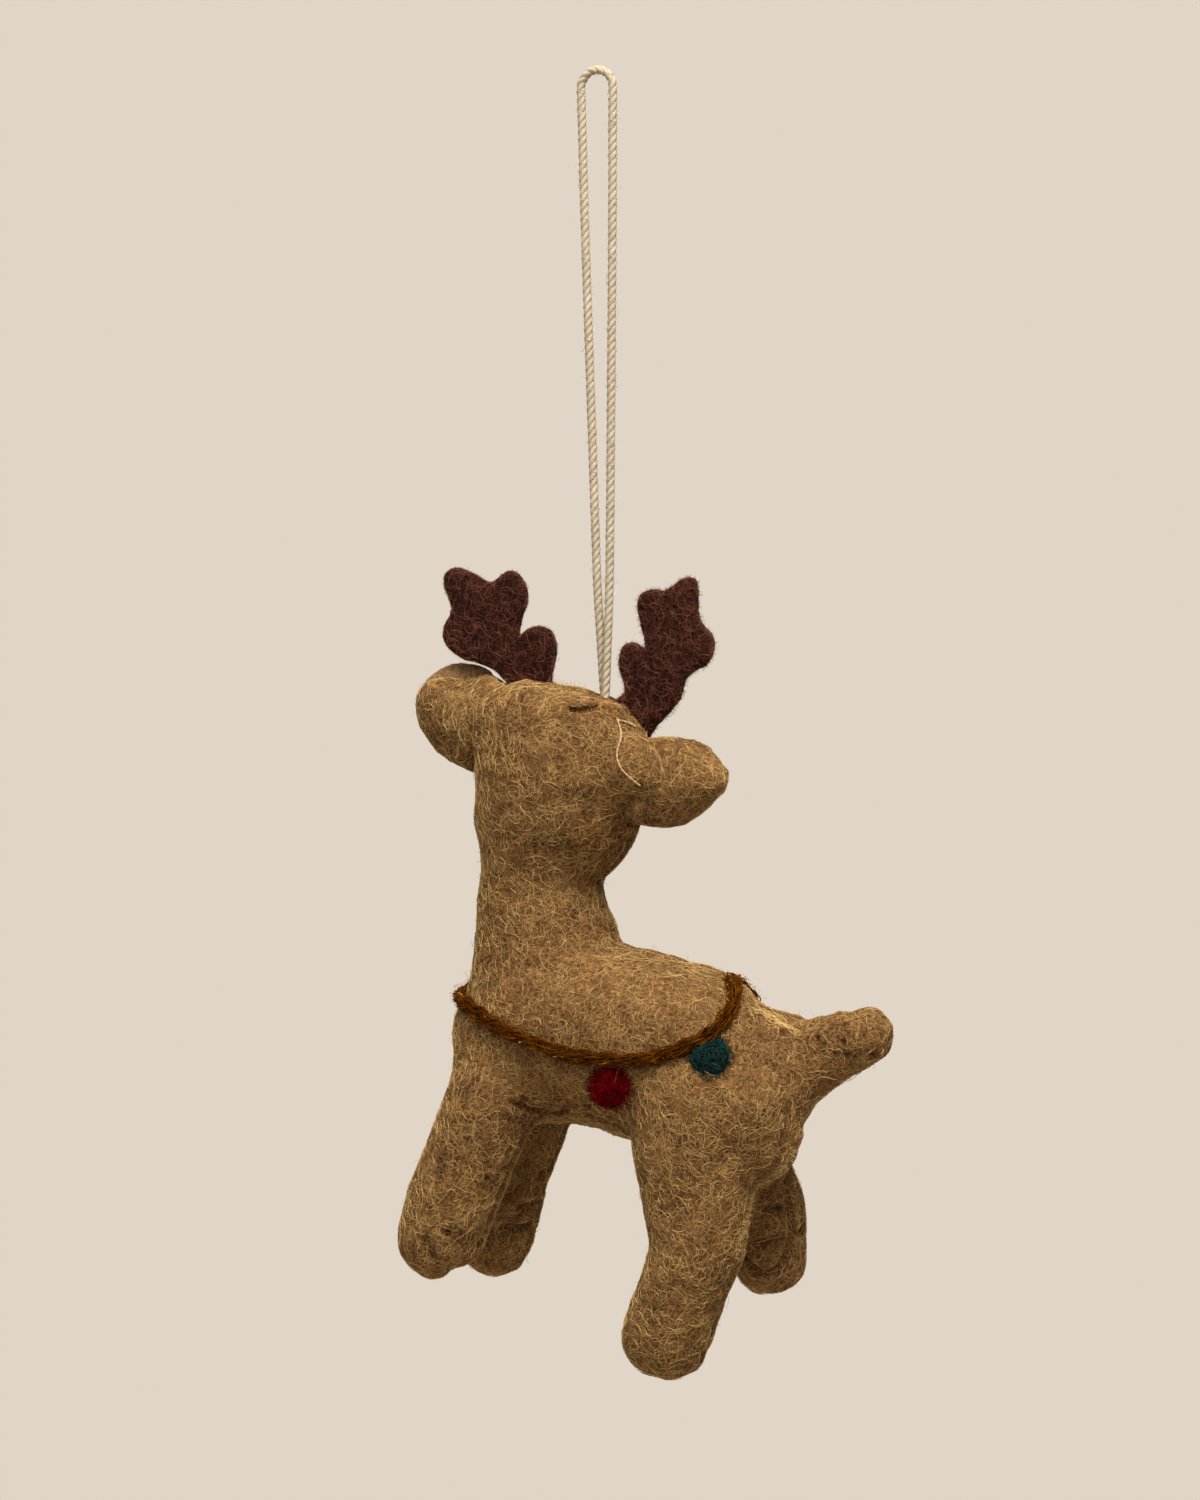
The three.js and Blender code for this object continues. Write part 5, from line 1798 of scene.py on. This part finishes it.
@dataclass
class BodyCoat:
    """The curling camel hairs all over the stuffed body, in several lots."""

    lots: int = 6
    hairs: int = 3400
    frizz: int = 4300
    tuft: int = 130
    dot_clear: float = 3.5 * MM
    hole_clear: float = 0.55 * MM
    tuft_clear: float = 4.4 * MM
    leg_edge: Pixels = (
        (796, 1150), (785, 1166), (771, 1178), (758, 1189), (751, 1206), (746, 1220), (742, 1236),
        (738, 1258))

    def build(self, skin: Piece, dots: Sequence[Vector], holes: Sequence[Vector], palette: Palette) -> None:
        """Grow the hairs, keeping them off the coloured dots and the needle holes."""
        spots = np.array([list(b) for b in dots])
        pits = np.array([[*b, self.hole_clear] for b in holes] + [CORD_FOOT, CORD_LEAN])

        def allow(roots: Rows) -> Rows:
            """Keep hairs whose root is off the dots."""
            return (np.linalg.norm(roots[:, None] - spots, axis=2) > self.dot_clear).all(axis=1)

        for lot in range(self.lots):
            coat = Coat(100 + lot, (2.4, 6.4) if lot else (4.0, 8.0))
            tubes = coat.grow(skin, self.hairs, allow, pits)
            tubes.hairs(f"body_hairs_{lot + 1}", palette.camel_hair, Slot.CAMEL)
        loose = Coat(120, (0.9, 2.6), (0.024, 0.04), curl=1.2, lift=0.3, stray=0.1, steps=6, tint=(0.5, 1.0))
        loose.grow(skin, self.frizz, allow, pits).hairs("body_frizz", palette.camel_hair, Slot.CAMEL)
        self._tuft(skin, palette)
        self._fringe(skin, palette)

    def _fringe(self, skin: Piece, palette: Palette) -> None:
        """Let short pale hairs stand out along the seam edge at the back of the near hind leg."""
        dice = np.random.default_rng(150)
        tree = Bench.tree(skin)
        run = even(np.array([(*px, 0.0) for px in self.leg_edge]), 0.45)[:, :2] + (-2.5, -0.5)
        run = run + dice.normal(0, 1.2, run.shape)
        roots, facing = split([f for f in SIGHT.hits(tree, run) if f[0].y < 1.0 * MM])
        facing = unit(facing + 0.7 * np.array(SIGHT.turn().transposed()[0]))
        made = bristles(roots, facing, (0.5, 1.5), (0.02, 0.036), 0.6, dice, (0.45, 1.0))
        made.hairs("leg_fringe", palette.camel_hair, Slot.CAMEL)

    def _tuft(self, skin: Piece, palette: Palette) -> None:
        """Stand a few short hairs along the crown seam."""
        dice = np.random.default_rng(140)
        tree = Bench.tree(skin)
        px = dice.uniform(553, 612, self.tuft)
        py = np.interp(px, (553, 575, 592, 612), (688, 692, 692, 702)) + dice.normal(0, 3, self.tuft)
        depth = dice.normal(-0.5, 1.0, self.tuft)
        found = [tree.find_nearest(SIGHT.place(a, b, y * MM)) for a, b, y in zip(px, py, depth)]
        foot = Vector(CORD_FOOT[:3])
        roots, facing = split([f for f in found if (f[0] - foot).length > self.tuft_clear])
        tuft = bristles(roots, facing, (0.6, 2.2), (0.022, 0.038), 0.8, dice, (0.1, 1.0))
        tuft.hairs("crown_tuft", palette.camel_hair, Slot.CAMEL)


# ---------------------------------------------------------------- light, floor and main


@dataclass
class Studio:
    """Soft studio light, a pale floor out of the picture and a pale backdrop."""

    backdrop: Colour = paint(224, 213, 198)
    sky: Colour = (1.0, 0.975, 0.955)
    lamp: Colour = (1.0, 0.968, 0.925)
    aim: Row = (0.005, 0, -0.14)
    lamps: tuple[tuple[str, Row, float, float], ...] = (
        ("key_lamp", (0.04, 0.62, 0.33), 5.75, 0.36), ("front_lamp", (-0.2, 0.62, 0.8), 1.2, 0.5))
    low_fill: float = 0.06
    high_fill: float = 0.62
    floor_drop: float = 520 * MM
    floor_radius: float = 600 * MM

    def build(self) -> None:
        """Set up the world, the lamps and the floor."""
        scene = bpy.context.scene
        scene.view_settings.view_transform = "Standard"
        self._world(scene)
        for name, place, power, size in self.lamps:
            self._lamp(name, place, power, size)
        self._floor()

    def _world(self, scene: bpy.types.Scene) -> None:
        """Show the backdrop to the camera and in reflections, and soft light from above to the felt."""
        world = bpy.data.worlds.new("soft_room")
        scene.world = world
        mixer = Mixer(world)
        seen = [mixer.node("ShaderNodeLightPath", {}, {}, name)
                for name in ("Is Camera Ray", "Is Glossy Ray", "Is Transmission Ray")]
        shown = (seen[0] + seen[1] + seen[2]).ramp(0.0, 1.0)
        way = mixer.node("ShaderNodeTexCoord", {}, {}, "Generated")
        height = mixer.node("ShaderNodeSeparateXYZ", {}, {0: way}, "Z")
        soft_light = self.low_fill + height.ramp(-0.6, 0.9) * (self.high_fill - self.low_fill)
        plain = mixer.node("ShaderNodeBackground", {}, {"Color": self.backdrop, "Strength": 1.0})
        soft = mixer.node("ShaderNodeBackground", {}, {"Color": self.sky, "Strength": soft_light})
        both = mixer.node("ShaderNodeMixShader", {}, {0: shown, 1: soft, 2: plain})
        mixer.node("ShaderNodeOutputWorld", {}, {"Surface": both})

    def _lamp(self, name: str, place: Row, power: float, size: float) -> None:
        """Hang one soft lamp, placed from its aim by the camera's right, top and back."""
        right, top, back = (Vector(v) for v in SIGHT.turn().transposed())
        aim = Vector(self.aim)
        spot = aim + right * place[0] + top * place[1] + back * place[2]
        turn = (spot - aim).to_track_quat("Z", "Y").to_euler()
        bpy.ops.object.light_add(type="AREA", location=spot, rotation=turn)
        lamp = bpy.context.object
        lamp.name = name
        lamp.data.energy = power
        lamp.data.size = size
        lamp.data.color = self.lamp

    def _floor(self) -> None:
        """Lay a pale round floor below the hanging object."""
        Bench.pick()
        bpy.ops.mesh.primitive_circle_add(vertices=96, radius=self.floor_radius, fill_type="NGON",
                                          location=(0, 0, -self.floor_drop))
        floor = bpy.context.object
        floor.name = "pale_floor"
        made = bpy.data.materials.new("pale_floor")
        mixer = Mixer(made)
        grain = mixer.cloud(0.02, 3.0, 1.0)
        shade = mixer.blend(grain * 0.3, self.backdrop, paint(214, 202, 186))
        mixer.surface({"Base Color": shade, "Roughness": 0.9})
        floor.data.materials.append(made)


def main() -> None:
    """Build every sub-assembly in order."""
    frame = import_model()
    Bench.pick()
    SIGHT.camera()
    palette = Palette()
    HangingLoop().build(palette)
    body = FeltBody()
    nodes = frame["nodes"]
    skin = body.build(nodes, palette)
    left_pulls = (Pull((428, 694), 24, (-4, -4)), Pull((487, 682), 13, (0, -9)),
                  Pull((458, 776), 20, (-3, -9)))
    rim_pulls = (Pull((468, 676), 40, (-12, -2)), Pull((436, 684), 14, (-6, 2)), Pull((482, 672), 12, (8, 0)))
    right_pulls = (Pull((712, 808), 26, (-1, -5)), Pull((729, 772), 28, (3, 0)))
    flaps = (
        FeltEar("left", LEFT_EAR_SEAT, Body.LEFT_EAR, puff=2.7 * MM, rim_shows=True, trim=2.1 * MM,
                low_trim=0.9 * MM, trim_side=1, taper=0.0, hairs=1250, seed=21, pulls=left_pulls,
                lining_pulls=rim_pulls),
        FeltEar("right", RIGHT_EAR_SEAT, Body.RIGHT_EAR, puff=2.2 * MM, rim_shows=False, trim=0.9 * MM,
                low_trim=0.0, trim_side=-1, taper=0.26, hairs=1150, seed=31, pulls=right_pulls),
        FeltAntler("left", LEFT_ANTLER_SEAT, Body.LEFT_ANTLER, bristles=1300,
                   bristle_length=(0.2, 0.6), seed=81),
        FeltAntler("right", RIGHT_ANTLER_SEAT, Body.RIGHT_ANTLER, bristles=1900,
                   bristle_length=(0.3, 0.9), seed=91))
    for flap in flaps:
        flap.build(nodes, palette)
    Garland().build(skin, palette)
    bare = []
    for mirrored in (False, True):
        side = "right" if mirrored else "left"
        for wool, slot, picture, seed, felt, hair in (
                ("red", Slot.RED, (610, 1087), 211, palette.red, palette.red_hair),
                ("teal", Slot.TEAL, (710, 1056), 221, palette.teal, palette.teal_hair)):
            dot = FeltDot(f"{wool}_dot_{side}", f"dot_{wool}_{side}", slot, picture, mirrored,
                          seed + mirrored)
            bare.append(dot.build(skin, felt, hair, palette.camel_hair))
    Face().build(nodes, skin, palette)
    Thread().build(skin, body.stitches, palette)
    CrownFold().build(skin, palette)
    BodyCoat().build(skin, bare, body.holes, palette)
    Studio().build()


if __name__ == "__main__":
    main()
